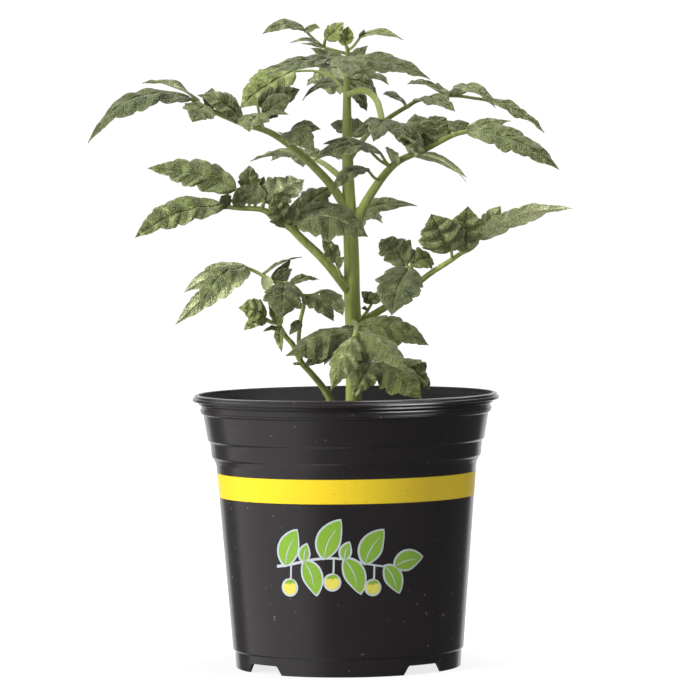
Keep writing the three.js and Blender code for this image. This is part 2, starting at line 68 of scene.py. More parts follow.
# Studio. A white table top that runs on into a white background, a large soft light at the left, and a
# weaker one overhead. Shaders and grown shapes are written as sums of wires.
class Wire:
    """A node's output. Sums, products and comparisons with it add their Math nodes."""

    def __init__(self, tree, socket):
        self.tree, self.socket = tree, socket

    def also(self, output):
        """Another output of the same node."""
        return Wire(self.tree, self.socket.node.outputs[output])

    def __add__(self, other):
        return self.tree.math("ADD", self, other)

    def __radd__(self, other):
        return self.tree.math("ADD", other, self)

    def __sub__(self, other):
        return self.tree.math("SUBTRACT", self, other)

    def __rsub__(self, other):
        return self.tree.math("SUBTRACT", other, self)

    def __mul__(self, other):
        return self.tree.math("MULTIPLY", self, other)

    def __rmul__(self, other):
        return self.tree.math("MULTIPLY", other, self)

    def __abs__(self):
        return self.tree.math("ABSOLUTE", self)

    def larger(self, other):
        return self.tree.math("MAXIMUM", self, other)

    def fraction(self):
        return self.tree.math("FRACT", self)

    def ramp(self, low, high):
        """0 below low, 1 above high, straight between them."""
        return self.tree.math("MULTIPLY", self - low, 1 / (high - low), clamp=True)

    def span(self, rise, fall):
        """1 between a rise and a fall, each a (from, to) pair, and 0 outside them."""
        return self.ramp(*rise) * (1 - self.ramp(*fall))


class Nodes:
    """A node tree. add() makes a node from its type, its settings and its inputs."""

    def __init__(self, tree):
        self.tree = tree

    def feed(self, socket, value):
        if isinstance(value, Wire):
            self.tree.links.new(value.socket, socket)
        else:
            socket.default_value = value

    def add(self, kind, settings=None, inputs=None, output=0):
        node = self.tree.nodes.new(kind)
        for name, value in (settings or {}).items():
            setattr(node, name, value)
        for key, value in (inputs or {}).items():
            self.feed(node.inputs[key], value)
        return Wire(self, node.outputs[output])

    def math(self, operation, *values, clamp=False):
        settings = {"operation": operation, "use_clamp": clamp}
        return self.add("ShaderNodeMath", settings, dict(enumerate(values)))

    def split(self, vector):
        """The x, y and z of a vector, as three wires."""
        parts = self.add("ShaderNodeSeparateXYZ", None, {0: vector})
        return [parts.also(axis) for axis in "XYZ"]


class Finish(Nodes):
    """A material in the making."""

    def __init__(self, name, **fixed):
        self.material = bpy.data.materials.new(name)
        self.material.use_nodes = True
        super().__init__(self.material.node_tree)
        self.surface = self.tree.nodes["Principled BSDF"]
        for socket, value in fixed.items():
            self.surface.inputs[socket.replace("_", " ")].default_value = value

    def place(self, stretch=(1, 1, 1)):
        """Object coordinates in metres, stretched along an axis where a grain runs that way."""
        spot = self.add("ShaderNodeTexCoord", output="Object")
        return self.add("ShaderNodeMapping", None, {"Vector": spot, "Scale": stretch})

    def noise(self, scale, detail=2.0, roughness=0.5, stretch=(1, 1, 1)):
        inputs = {"Vector": self.place(stretch), "Scale": scale, "Detail": detail, "Roughness": roughness}
        return self.add("ShaderNodeTexNoise", None, inputs, output="Fac")

    def blend(self, share, first, second):
        """A colour between two colours or colour wires."""
        return self.add("ShaderNodeMix", {"data_type": "RGBA"}, {0: share, 6: first, 7: second}, output=2)

    def relief(self, height, depth, strength=1.0, under=None):
        inputs = {"Height": height, "Distance": depth, "Strength": strength}
        if under is not None:
            inputs["Normal"] = under
        return self.add("ShaderNodeBump", None, inputs)

    def done(self, **wires):
        for socket, value in wires.items():
            self.feed(self.surface.inputs[socket.replace("_", " ")], value)
        return self.material


def paint(red, green, blue):
    """A colour as a screen shows it, 0 to 255, as the shader's linear colour."""
    shares = [c / 255 for c in (red, green, blue)]
    return (*[c / 12.92 if c <= 0.04045 else ((c + 0.055) / 1.055) ** 2.4 for c in shares], 1.0)


def soft_light(name, place, size, watts, mirrors=True):
    """A soft box that looks at the middle of the plant."""
    light = bpy.data.lights.new(name, "AREA")
    light.shape = "RECTANGLE"
    light.size, light.size_y = size
    light.energy = watts
    lamp = new_object(name, light)
    lamp.location = place
    lamp.rotation_quaternion = (PLANT_MIDDLE - Vector(place)).to_track_quat("-Z", "Y")
    lamp.visible_glossy = mirrors


PLANT_MIDDLE = Vector((0, 0, 0.2))
soft_light("window_left", (-1.35, -0.85, 0.65), (0.8, 1.0), 42, mirrors=False)
soft_light("overhead", (0.35, 0.05, 1.6), (0.75, 0.5), 15)

# The room as its light falls on things, as it mirrors in them, and as the camera sees it. It mirrors as a
# broad window at the left, a white wall behind with a bright strip above it, a bright patch at the right
# that draws the streaks on the lip, and a dim rest. Turns are degrees from the front to the left, and
# heights run from 0 at the horizon to 1 overhead.
FLOOR_LIGHT, CEILING_LIGHT = 0.16, 0.55
ROOM_SEEN = 1.05
WINDOW_TURNS, WINDOW_BRIGHTNESS = [(18, 44), (121, 123)], 0.8
WALL_TURN = (150, 155)
CEILING_HEIGHT, CEILING_BRIGHTNESS = (0.35, 0.9), 0.3
STRIP_TURN, STRIP_HEIGHTS, STRIP_BRIGHTNESS = (90, 110), [(0.5, 0.56), (0.76, 0.84)], 2.6
PATCH_TURN, PATCH_FADES, PATCH_HEIGHTS, PATCH_BRIGHTNESS = -50, (10, 28), [(0.1, 0.16), (0.3, 0.42)], 20.0
DIM = 0.12
sky = bpy.data.worlds.new("white_room")
bpy.context.scene.world = sky
sky.use_nodes = True
room = Nodes(sky.node_tree)
way_x, way_y, way_up = room.split(room.add("ShaderNodeTexCoord", output="Generated"))
turn = room.math("ARCTAN2", way_x * -1, way_y * -1) * math.degrees(1)
window = turn.span(*WINDOW_TURNS) * WINDOW_BRIGHTNESS
ceiling = way_up.ramp(*CEILING_HEIGHT) * CEILING_BRIGHTNESS
strip = abs(turn).ramp(*STRIP_TURN) * way_up.span(*STRIP_HEIGHTS)
patch = (1 - abs(turn - PATCH_TURN).ramp(*PATCH_FADES)) * way_up.span(*PATCH_HEIGHTS)
mirrored = window.larger(abs(turn).ramp(*WALL_TURN)).larger(ceiling)
mirrored = mirrored.larger(strip * STRIP_BRIGHTNESS).larger(patch * PATCH_BRIGHTNESS) + DIM
in_gloss = room.add("ShaderNodeLightPath", output="Is Glossy Ray")
to_camera = room.add("ShaderNodeLightPath", output="Is Camera Ray")
falling = FLOOR_LIGHT + (CEILING_LIGHT - FLOOR_LIGHT) * way_up.ramp(-0.1, 0.9)
level = falling * (1 - in_gloss) * (1 - to_camera) + mirrored * in_gloss + to_camera * ROOM_SEEN
sky_light = sky.node_tree.nodes["Background"]
sky_light.inputs["Color"].default_value = (1, 1, 1, 1)
room.feed(sky_light.inputs["Strength"], level)

TABLE_HALF = 6.0
TABLE_LIGHT = 0.45
# distance from the pot's axis in metres, and how bright the table is there
NEAR_TABLE, FAR_TABLE = (0.08, 0.8), (0.4, 1.1)
table_mesh = bpy.data.meshes.new("table_top")
corners = [(TABLE_HALF * x, TABLE_HALF * y, 0) for x, y in ((-1, -1), (1, -1), (1, 1), (-1, 1))]
table_mesh.from_pydata(corners, [], [(0, 1, 2, 3)])
table = new_object("table_top", table_mesh)
# The table glows though it is no lamp. The camera sees it white, a little dimmer near the pot, and diffuse
# rays see a dim glow from it that lights the plant from below.
white = Finish("white_table", Roughness=0.95, Specular_IOR_Level=0.0, Emission_Strength=1.0)
reach = white.add("ShaderNodeVectorMath", {"operation": "LENGTH"}, {0: white.place()}, output="Value")
glow = NEAR_TABLE[1] + reach.ramp(NEAR_TABLE[0], FAR_TABLE[0]) * (FAR_TABLE[1] - NEAR_TABLE[1])
seen = white.add("ShaderNodeLightPath", output="Is Camera Ray") * glow
in_light = white.add("ShaderNodeLightPath", output="Is Diffuse Ray") * TABLE_LIGHT
emitted = white.blend(seen + in_light, (0, 0, 0, 1), (1, 1, 1, 1))
table_mesh.materials.append(white.done(Base_Color=paint(128, 128, 128), Emission_Color=emitted))
table.visible_glossy = False


# Pot. One injection-moulded nursery pot of dark glossy polypropylene: a thin flared lip, a collar in two
# steps that lets empty pots nest, a tapering wall, and a foot ring with drainage notches. The plug of
# compost and the roots fill it, and it stands free on its foot.
def mesh_object(name, points, faces, materials, smooth_angle=None):
    """A mesh from points in millimetres, its object at the origin. smooth_angle in degrees keeps edges."""
    mesh = bpy.data.meshes.new(name)
    mesh.from_pydata((np.asarray(points, float) * MM).tolist(), [], faces)
    for material in materials:
        mesh.materials.append(material)
    mesh.validate()
    mesh.shade_smooth()
    if smooth_angle is not None:
        mesh.set_sharp_from_angle(angle=math.radians(smooth_angle))
    return new_object(name, mesh)


def turned(profile, sides):
    """Points and faces of a profile of (radius, height) pairs turned about Z. It runs from axis to axis, or
    ends on its first pair."""
    points, faces, rows = [], [], []
    for radius, height in profile:
        if rows and (radius, height) == profile[0]:
            rows.append(rows[0])
            continue
        if radius < 1e-6:
            rows.append([len(points)] * sides)
            points.append((0, 0, height))
            continue
        rows.append(list(range(len(points), len(points) + sides)))
        turns = (2 * math.pi * k / sides for k in range(sides))
        points += [(radius * math.cos(turn), radius * math.sin(turn), height) for turn in turns]
    for low, high in zip(rows, rows[1:]):
        for k in range(sides):
            after = (k + 1) % sides
            ring = list(dict.fromkeys([low[k], low[after], high[after], high[k]]))
            if len(ring) > 2:
                faces.append(ring)
    return points, faces


def rounded(profile, radius, steps):
    """The same open profile with each inner corner as an arc of about that radius."""
    line = [Vector(p) for p in profile]
    made = [line[0]]
    for before, corner, after in zip(line, line[1:], line[2:]):
        back, on = before - corner, after - corner
        reach = min(radius, 0.45 * back.length, 0.45 * on.length)
        start, end = corner + back.normalized() * reach, corner + on.normalized() * reach
        for k in range(steps + 1):
            share = k / steps
            made.append(start * (1 - share) ** 2 + corner * 2 * share * (1 - share) + end * share ** 2)
    made.append(line[-1])
    return [tuple(p) for p in made]


def cut(target, cutter):
    """Takes the cutter's shape out of the target for good."""
    step = target.modifiers.new("cut", "BOOLEAN")
    step.operation = "DIFFERENCE"
    step.solver = "EXACT"
    step.object = cutter
    graph = bpy.context.evaluated_depsgraph_get()
    result = bpy.data.meshes.new_from_object(target.evaluated_get(graph))
    target.modifiers.clear()
    target.data = result
    bpy.data.objects.remove(cutter)


POT_HEIGHT = 149.2
FOOT_RADIUS, FOOT_TOP = 61.4, 9.4
PAD_RADIUS, PAD_DROP = 30, 5.5
FLOOR_TOP, PAD_TOP = 6.9, 1.8
# radius and height where the plain wall starts and ends
WALL_START, WALL_END = (63, 10.2), (70.8, 109)
# halfway through the wall: its radius at the plain wall's end, and how fast it widens above that
WALL_MIDDLE, WALL_FLARE = 70.1, 0.256
EDGE_ROUNDING = 0.4
POT_SIDES = 192
NOTCH_ANGLES = [-138.5, -48.5, 41.5, 131.5]
NOTCH_HALF, NOTCH_TOP = 13.5, 5
NOTCH_NARROWING = 0.74
DRAIN_HOLES = 4
DRAIN_CIRCLE, DRAIN_RADIUS = 52.5, 4

# from the axis under the foot, up the outside, over the lip and down the inside to the axis again
pot_profile = rounded([
    (0, 0.4), (PAD_RADIUS - 0.4, 0.4), (PAD_RADIUS + 0.4, 0.8), (PAD_RADIUS + 2, PAD_DROP),
    (59.4, PAD_DROP), (60, 0),
    (FOOT_RADIUS, 0), (61.9, FOOT_TOP), WALL_START, WALL_END, (71.2, 111.5), (72.4, 114.2), (73.5, 115.4),
    (74.2, 123.2), (75.5, 124.4), (77.8, 138.4), (79.2, 139.1), (79.2, 140), (79.1, 140.1), (79.7, 140.4),
    (78.9, 142.4), (78.8, 143.3), (80.4, 143.9), (80.2, 145.1), (80.2, 145.5), (83.4, 145.7), (83.7, 146.1),
    (83.5, 147.4), (82.5, 147.7), (82.7, 148.4), (82.3, 148.9), (81.6, POT_HEIGHT), (80.5, POT_HEIGHT),
    (79.9, 148.9), (79.6, 147.6), (78.6, 145.2), (76.4, 138), (74.1, 124.8), (72.8, 122.8), (69.4, 109),
    (60.4, FLOOR_TOP), (PAD_RADIUS + 1, FLOOR_TOP), (PAD_RADIUS - 1, PAD_TOP), (0, PAD_TOP),
], EDGE_ROUNDING, 4)
pot_points, pot_faces = turned(pot_profile, POT_SIDES)

plastic = Finish("dark_polypropylene", IOR=1.49, Specular_IOR_Level=0.42)
handling = plastic.noise(14, 4, 0.6)
fine_wear = plastic.noise(260, 3, 0.6)
moulding = plastic.noise(70, 2, 0.5, stretch=(0.4, 0.4, 9))
specks = plastic.noise(420, 1, 0.4).ramp(0.735, 0.76) * plastic.noise(28, 2).ramp(0.46, 0.6)
shade = plastic.blend(handling, paint(31, 28, 29), paint(40, 36, 37))
dusty = plastic.blend(specks * 0.45, shade, paint(122, 112, 100))
at_x, at_y, at_z = plastic.split(plastic.place())
from_axis = plastic.math("SQRT", at_x * at_x + at_y * at_y)
wall_middle = WALL_MIDDLE * MM + (at_z - WALL_END[1] * MM) * WALL_FLARE
# Inside the wall the plastic is painted darker, as painted shade in the pot's hollow, and is rougher.
inside = (wall_middle - from_axis).ramp(-0.1 * MM, 0.2 * MM)
pot_material = plastic.done(
    Base_Color=plastic.blend(inside * 0.7, dusty, paint(10, 9, 9)),
    Roughness=0.15 + handling * 0.1 + fine_wear * 0.06 + specks * 0.3 + inside * 0.4,
    Normal=plastic.relief(moulding, 0.0003, 0.12, plastic.relief(fine_wear, 0.0001, 0.08)),
)
pot = mesh_object("nursery_pot", pot_points, pot_faces, [pot_material])


def prism(name, ring, bottom, top):
    """A straight block from one closed ring of points at two ends."""
    size = len(ring)
    sides = [(k, (k + 1) % size, size + (k + 1) % size, size + k) for k in range(size)]
    ends = [tuple(reversed(range(size))), tuple(range(size, 2 * size))]
    return mesh_object(name, [bottom(p) for p in ring] + [top(p) for p in ring], sides + ends, [])


notch_top = NOTCH_HALF * NOTCH_NARROWING
notch_side = [(NOTCH_HALF + 0.7, -1), (NOTCH_HALF, 0), (notch_top + 1, NOTCH_TOP - 0.9),
              (notch_top, NOTCH_TOP)]
notch_mirror = [(-x, z) for x, z in reversed(notch_side)]
notch_ring = [notch_mirror[-1], *notch_side, *notch_mirror[:-1]]
for angle in NOTCH_ANGLES:
    turn = math.radians(angle)
    out, side = Vector((math.cos(turn), math.sin(turn), 0)), Vector((-math.sin(turn), math.cos(turn), 0))
    cut(pot, prism("notch", notch_ring, lambda p: out * 57 + side * p[0] + Vector((0, 0, p[1])),
                   lambda p: out * 64 + side * p[0] + Vector((0, 0, p[1]))))
for k in range(DRAIN_HOLES):
    turn = math.radians(45 + 360 / DRAIN_HOLES * k)
    ring = [(DRAIN_CIRCLE * math.cos(turn) + DRAIN_RADIUS * math.cos(math.pi * j / 12),
             DRAIN_CIRCLE * math.sin(turn) + DRAIN_RADIUS * math.sin(math.pi * j / 12)) for j in range(24)]
    cut(pot, prism("drain_hole", ring, lambda p: (*p, 3), lambda p: (*p, 9)))
pot.data.shade_smooth()
pot.data.set_sharp_from_angle(angle=math.radians(32))
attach(pot, "root")
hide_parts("pot")


# Printed band. One flat yellow stripe, screen-printed round the wall under the collar. It is a film of ink.
def wall_radius(height):
    share = (height - WALL_START[1]) / (WALL_END[1] - WALL_START[1])
    return WALL_START[0] + share * (WALL_END[0] - WALL_START[0])


# how far the film of ink stands out of the wall, how deep its root is, and the band's lower and upper edge
INK, INK_ROOT = 0.09, -0.2
BAND = (93.5, 106.6)


def ink_finish(name, colour, worn):
    """Screen ink: nearly flat, a little worn, with pinholes that let the dark wall through."""
    ink = Finish(name, IOR=1.48, Specular_IOR_Level=0.45)
    pinholes = ink.noise(1500, 1, 0.4).ramp(0.71, 0.75)
    patches = ink.noise(22, 3, 0.6)
    body = ink.blend(patches, colour, worn)
    return ink.done(
        Base_Color=ink.blend(pinholes * 0.7, body, paint(60, 52, 40)),
        Roughness=0.34 + patches * 0.12,
        Normal=ink.relief(ink.noise(900, 2), 0.00006, 0.2),
    )


low_edge, high_edge = ([(wall_radius(z) + rise, z) for rise in (INK_ROOT, INK)] for z in BAND)
band_points, band_faces = turned([*low_edge, *reversed(high_edge), low_edge[0]], POT_SIDES)
yellow = ink_finish("yellow_ink", paint(226, 198, 32), paint(220, 188, 32))
band = mesh_object("printed_band", band_points, band_faces, [yellow], smooth_angle=40)
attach(band, "root")


# Printed sprig. A plain leafy twig with three round fruits, screen-printed across the front in green, pale
# grey and yellow inks. It is a generic garden motif.
SPRIG_MIDDLE = (0.5, 60)
FRONT = math.radians(-90)


def sheet_faces(rows, columns):
    """The faces of a closed sheet: a grid of points on top, the same below it, and a rim between them."""
    size = rows * columns
    faces = []
    for a in (i * columns + j for i in range(rows - 1) for j in range(columns - 1)):
        b = a + columns
        faces += [(a, a + 1, b + 1, b), (size + a, size + b, size + b + 1, size + a + 1)]
    rim = list(range(columns)) + [i * columns + columns - 1 for i in range(1, rows)]
    rim += [(rows - 1) * columns + j for j in range(columns - 2, -1, -1)]
    rim += [i * columns for i in range(rows - 2, 0, -1)]
    return faces + [(after, here, here + size, after + size) for here, after in zip(rim, rim[1:] + rim[:1])]


def print_shape(points, faces, outline, lift):
    """Adds a flat shape, a grid of rows of (x, z) points, wrapped round the wall as a closed film of ink."""
    first = len(points)
    for rise in (lift, INK_ROOT):
        for row in outline:
            for x, z in row:
                reach = wall_radius(SPRIG_MIDDLE[1] + z)
                turn = FRONT + (SPRIG_MIDDLE[0] + x) / reach
                out = reach + rise
                points.append((out * math.cos(turn), out * math.sin(turn), SPRIG_MIDDLE[1] + z))
    faces += [[first + k for k in face] for face in sheet_faces(len(outline), len(outline[0]))]


def ribbon(centre, halves):
    """A grid of three columns along a centre line, with a half width at each of its points."""
    rows = []
    for k, (point, half) in enumerate(zip(centre, halves)):
        before, after = centre[max(k - 1, 0)], centre[min(k + 1, len(centre) - 1)]
        along = Vector((after[0] - before[0], after[1] - before[1])).normalized()
        side = Vector((along.y, -along.x)) * half
        rows.append([(point[0] - side.x, point[1] - side.y), point, (point[0] + side.x, point[1] + side.y)])
    return rows


def printed_leaf(root, angle, length, width, grow=0.0):
    """A plain pointed leaf, or its rib where the width is slim. grow widens it all round."""
    turn = math.radians(angle)
    along = Vector((math.cos(turn), math.sin(turn)))
    steps = 16
    centre, halves = [], []
    for k in range(steps + 1):
        share = k / steps
        reach = -grow + share * (length + 2 * grow)
        bend = 0.08 * length * math.sin(math.pi * share)
        centre.append(tuple(Vector(root) + along * reach + Vector((-along.y, along.x)) * bend))
        halves.append(0.05 + (width / 2 + grow) * math.sin(math.pi * share ** 0.85) ** 0.8)
    return ribbon(centre, halves)


def printed_dot(middle, radius):
    rows = []
    for k in range(13):
        drop = -math.cos(math.pi * k / 12)
        half = max(math.sqrt(max(1 - drop * drop, 0)) * radius, 0.03)
        x, z = middle
        rows.append([(x - half, z + drop * radius), (x, z + drop * radius), (x + half, z + drop * radius)])
    return [list(reversed(row)) for row in rows]


KNOT_STEP = 5.5
twig = [(-40.5 + KNOT_STEP * k, 2 + 2.6 * math.sin(0.5 * k - 1.2)) for k in range(13)]
# knot, angle, length and width of each leaf, and the knot, drop and radius of each fruit
SPRIG_LEAVES = [(1, 70, 20, 11), (5, 66, 22, 11.5), (9, 60, 20, 11), (12, 14, 17, 9.5), (3, -70, 19, 9.6),
                (7, -66, 20, 9.8), (11, -62, 16, 8.6), (7, 74, 9, 5), (3, 80, 9, 5)]
SPRIG_FRUITS = [(1.6, 12.5, 3.9), (5.95, 13, 3.8), (9.9, 12, 3.6)]
OUTLINE_WIDTH = 1.1
CALYX = [(-150, 3.4), (-90, 2.4), (-30, 3.4)]
layers = {"grey": ([], []), "green": ([], []), "yellow": ([], [])}


def printed(shape, colour, grow=0.0, lift=INK):
    print_shape(*layers[colour], shape(grow), lift)


printed(lambda grow: ribbon(twig, [0.8 - 0.03 * k for k in range(13)]), "grey")
for knot, angle, length, width in SPRIG_LEAVES:
    def leaf_shape(grow):
        return printed_leaf(twig[knot], angle, length, width, grow)

    def rib_shape(grow):
        return printed_leaf(twig[knot], angle, length * 0.8, grow)

    printed(leaf_shape, "grey", OUTLINE_WIDTH)
    printed(leaf_shape, "green", 0.0, 1.8 * INK)
    printed(rib_shape, "grey", 0.5, 2.6 * INK)
for knot, drop, radius in SPRIG_FRUITS:
    x = twig[0][0] + KNOT_STEP * knot
    top = 2 + 2.6 * math.sin(0.5 * knot - 1.2)
    middle = (x - 1, top - drop)
    printed(lambda grow: ribbon([(x, top), (x - 0.2, top - drop / 2), middle], [0.5, 0.5, 0.5]), "grey")
    printed(lambda grow: printed_dot(middle, radius + grow), "grey", OUTLINE_WIDTH)
    printed(lambda grow: printed_dot(middle, radius), "yellow", 0.0, 1.8 * INK)
    for angle, length in CALYX:
        crown = (middle[0], middle[1] + radius)
        printed(lambda grow: printed_leaf(crown, angle, length, 1.5), "green", 0.0, 2.6 * INK)
SPRIG_INKS = {
    "grey": ink_finish("grey_ink", paint(184, 192, 196), paint(170, 178, 180)),
    "green": ink_finish("green_ink", paint(128, 168, 52), paint(112, 152, 46)),
    "yellow": ink_finish("warm_yellow_ink", paint(214, 204, 88), paint(200, 190, 78)),
}
for colour, (points, faces) in layers.items():
    film = mesh_object(f"printed_sprig_{colour}", points, faces, [SPRIG_INKS[colour]], smooth_angle=40)
    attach(film, "root")


# Compost. A dark, crumbly peat mix fills the pot to two centimetres under the lip. The plug keeps the pot's
# shape below, and loose crumbs lie on top of it.
SOIL_TOP, SOIL_EDGE, SOIL_RADIUS = 128, 125.5, 73.1
SOIL_RINGS, SOIL_SIDES = 44, 144

soil = Finish("peat_compost", Specular_IOR_Level=0.25)
clods = soil.noise(160, 5, 0.65)
grit = soil.noise(900, 2, 0.6)
brown = soil.blend(clods.ramp(0.3, 0.7), paint(38, 28, 21), paint(84, 64, 47))
soil_material = soil.done(
    Base_Color=soil.blend(grit.ramp(0.62, 0.72) * 0.6, brown, paint(118, 92, 66)),
    Roughness=0.86 + clods * 0.12,
    Normal=soil.relief(grit, 0.0006, 0.7, soil.relief(clods, 0.0015, 0.6)),
)


def soil_height(x, y):
    share = math.hypot(x, y) / SOIL_RADIUS
    swell = noise.noise(Vector((x, y, 3)) * 0.05) * 1.2 + noise.noise(Vector((x, y, 9)) * 0.22) * 0.9
    return SOIL_EDGE + (SOIL_TOP - SOIL_EDGE) * (1 - share ** 2) + swell * (1 - share ** 8)


plug_side = [(0, 2), (28, 2), (30, 7.3), (59.4, 7.3), (68.6, 108.6), (71.8, 122.2), (SOIL_RADIUS, SOIL_EDGE)]
crown = [(SOIL_RADIUS * (1 - k / SOIL_RINGS), SOIL_TOP) for k in range(1, SOIL_RINGS)]
soil_points, soil_faces = turned([*plug_side, *crown, (0, SOIL_TOP)], SOIL_SIDES)
soil_points = [(x, y, soil_height(x, y)) if z >= SOIL_EDGE else (x, y, z) for x, y, z in soil_points]
compost = mesh_object("compost", soil_points, soil_faces, [soil_material])
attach(compost, "root")
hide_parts("soil")


def new_tree(name, sizes):
    """A geometry node tree, and the mesh and the named numbers that go into it."""
    tree = bpy.data.node_groups.new(name, "GeometryNodeTree")
    tree.interface.new_socket("Geometry", in_out="INPUT", socket_type="NodeSocketGeometry")
    for size_name, value in sizes.items():
        kind = "NodeSocketInt" if isinstance(value, int) else "NodeSocketFloat"
        tree.interface.new_socket(size_name, in_out="INPUT", socket_type=kind).default_value = value
    tree.interface.new_socket("Geometry", in_out="OUTPUT", socket_type="NodeSocketGeometry")
    grow = Nodes(tree)
    return grow, {socket.name: Wire(grow, socket) for socket in tree.nodes.new("NodeGroupInput").outputs}


def end_tree(grow, shape, material):
    """Ends a tree: the shape made real, in one material."""
    real = grow.add("GeometryNodeRealizeInstances", None, {0: shape})
    coated = grow.add("GeometryNodeSetMaterial", None, {"Geometry": real, "Material": material})
    grow.feed(grow.tree.nodes.new("NodeGroupOutput").inputs[0], coated)


def grown_mesh(name, source, grow, sizes):
    """The tree's result on a source object, as a plain object. The source stays as it was."""
    modifier = source.modifiers.new(name, "NODES")
    modifier.node_group = grow.tree
    for socket in grow.tree.interface.items_tree:
        if socket.in_out == "INPUT" and socket.name in sizes:
            modifier[socket.identifier] = sizes[socket.name]
    graph = bpy.context.evaluated_depsgraph_get()
    mesh = bpy.data.meshes.new_from_object(source.evaluated_get(graph))
    source.modifiers.remove(modifier)
    mesh.name = name
    return new_object(name, mesh)


crumb_sizes = {"Density": 0.07 / MM ** 2, "Smallest": 0.5 * MM, "Largest": 1.9 * MM, "Seed": 11}
grow, given = new_tree("crumbs", crumb_sizes)
facing_up = grow.split(grow.add("GeometryNodeInputNormal"))[2]
upward = grow.add("FunctionNodeCompare", {"operation": "GREATER_THAN"}, {0: facing_up, 1: 0.6})
points = grow.add("GeometryNodeDistributePointsOnFaces", None, {
    "Mesh": given["Geometry"], "Selection": upward, "Density": given["Density"], "Seed": given["Seed"]})
lump = grow.add("GeometryNodeMeshIcoSphere", None, {"Radius": 1.0, "Subdivisions": 1})
size = grow.add("FunctionNodeRandomValue", None, {
    2: given["Smallest"], 3: given["Largest"], "Seed": given["Seed"]}, output=1)
vectors = {"data_type": "FLOAT_VECTOR"}
squeeze = grow.add("FunctionNodeRandomValue", vectors, {0: (0.6, 0.6, 0.5), 1: (1.3, 1.3, 0.9), "Seed": 5})
scaled = grow.add("ShaderNodeVectorMath", {"operation": "SCALE"}, {0: squeeze, 3: size})
spin = grow.add("FunctionNodeRandomValue", vectors, {0: (0, 0, 0), 1: (6.28, 6.28, 6.28), "Seed": 8})
laid = grow.add("GeometryNodeInstanceOnPoints", None, {
    "Points": points, "Instance": lump, "Rotation": spin, "Scale": scaled})
end_tree(grow, laid, soil_material)
crumbs = grown_mesh("compost_crumbs", compost, grow, crumb_sizes)
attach(crumbs, "root")


# Main stem. One round, pale green stem from the compost to the growing tip, thickest in its lower half, with
# shallow lengthways ridges and a covering of short pale hairs.
YOUNG_STEM = (0.24, 0.27)
stem = Finish("green_stem", Specular_IOR_Level=0.35, Sheen_Weight=0.12, Sheen_Roughness=0.4,
              Sheen_Tint=paint(214, 220, 190))
streaks = stem.noise(420, 2, 0.5, stretch=(1, 1, 0.06))
blotches = stem.noise(60, 2)
stem_green = stem.blend(streaks.ramp(0.3, 0.7), paint(124, 135, 70), paint(160, 172, 94))
stem_height = stem.split(stem.place())[2]
stem_green = stem.blend(stem_height.ramp(*YOUNG_STEM) * 0.6, stem_green, paint(110, 120, 66))
stem_material = stem.done(
    Base_Color=stem.blend(blotches.ramp(0.45, 0.75) * 0.6, stem_green, paint(128, 138, 78)),
    Roughness=0.5 + streaks * 0.15,
    Normal=stem.relief(stem.noise(2600, 1), 0.00015, 0.4, stem.relief(streaks, 0.0004, 0.5)),
)

MAIN_STEM = [(4, 0, 100.3), (4, 0, 130), (4.5, 0, 152), (4.6, 0, 183), (4, 0, 203), (4, 0, 221),
             (3.5, 0, 240), (2.6, 0, 265), (2.3, 0, 298), (2.6, 0, 320), (2.8, 0, 332)]
STEM_RADII = [4.2, 4.4, 4.4, 4.5, 4.4, 4.2, 4, 3.3, 2.5, 1.9, 1.5]


def along_path(path, share):
    """A point on the smooth curve through the path's points, share running from 0 to 1."""
    last = len(path) - 1
    place = min(max(share, 0.0), 1.0) * last
    k = min(int(place), last - 1)
    t = place - k
    p1, p2 = Vector(path[k]), Vector(path[k + 1])
    p0 = Vector(path[k - 1]) if k > 0 else 2 * p1 - p2
    p3 = Vector(path[k + 2]) if k + 2 <= last else 2 * p2 - p1
    v0, v1 = (p2 - p0) / 2, (p3 - p1) / 2
    return (2 * p1 - 2 * p2 + v0 + v1) * t ** 3 + (3 * p2 - 3 * p1 - 2 * v0 - v1) * t ** 2 + v0 * t + p1


def radius_at(radii, share):
    place = min(max(share, 0.0), 1.0) * (len(radii) - 1)
    k = min(int(place), len(radii) - 2)
    return radii[k] + (radii[k + 1] - radii[k]) * (place - k)


def guide_line(name, path, radii, steps):
    """A line of edges in metres along a path, with the radius of what grows round it at each point."""
    mesh = bpy.data.meshes.new(name)
    spots = [along_path(path, k / steps) * MM for k in range(steps + 1)]
    mesh.from_pydata(spots, [(k, k + 1) for k in range(steps)], [])
    thickness = mesh.attributes.new("thickness", "FLOAT", "POINT")
    thickness.data.foreach_set("value", [radius_at(radii, k / steps) * MM for k in range(steps + 1)])
    return new_object(name, mesh)


round_sizes = {"Sides": 28}
grow, given = new_tree("round_stem", round_sizes)
line = grow.add("GeometryNodeMeshToCurve", None, {"Mesh": given["Geometry"]})
thickness = grow.add("GeometryNodeInputNamedAttribute", {"data_type": "FLOAT"}, {"Name": "thickness"})
ring = grow.add("GeometryNodeCurvePrimitiveCircle", None, {"Resolution": given["Sides"], "Radius": 1.0})
skin = grow.add("GeometryNodeCurveToMesh", None, {
    "Curve": line, "Profile Curve": ring, "Scale": thickness, "Fill Caps": True})
end_tree(grow, grow.add("GeometryNodeSetShadeSmooth", None, {0: skin}), stem_material)
guide = guide_line("main_stem_line", MAIN_STEM, STEM_RADII, 150)
main_stem = grown_mesh("main_stem_skin", guide, grow, round_sizes)
bpy.data.objects.remove(guide)
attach(main_stem, "root")
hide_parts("main_stem")


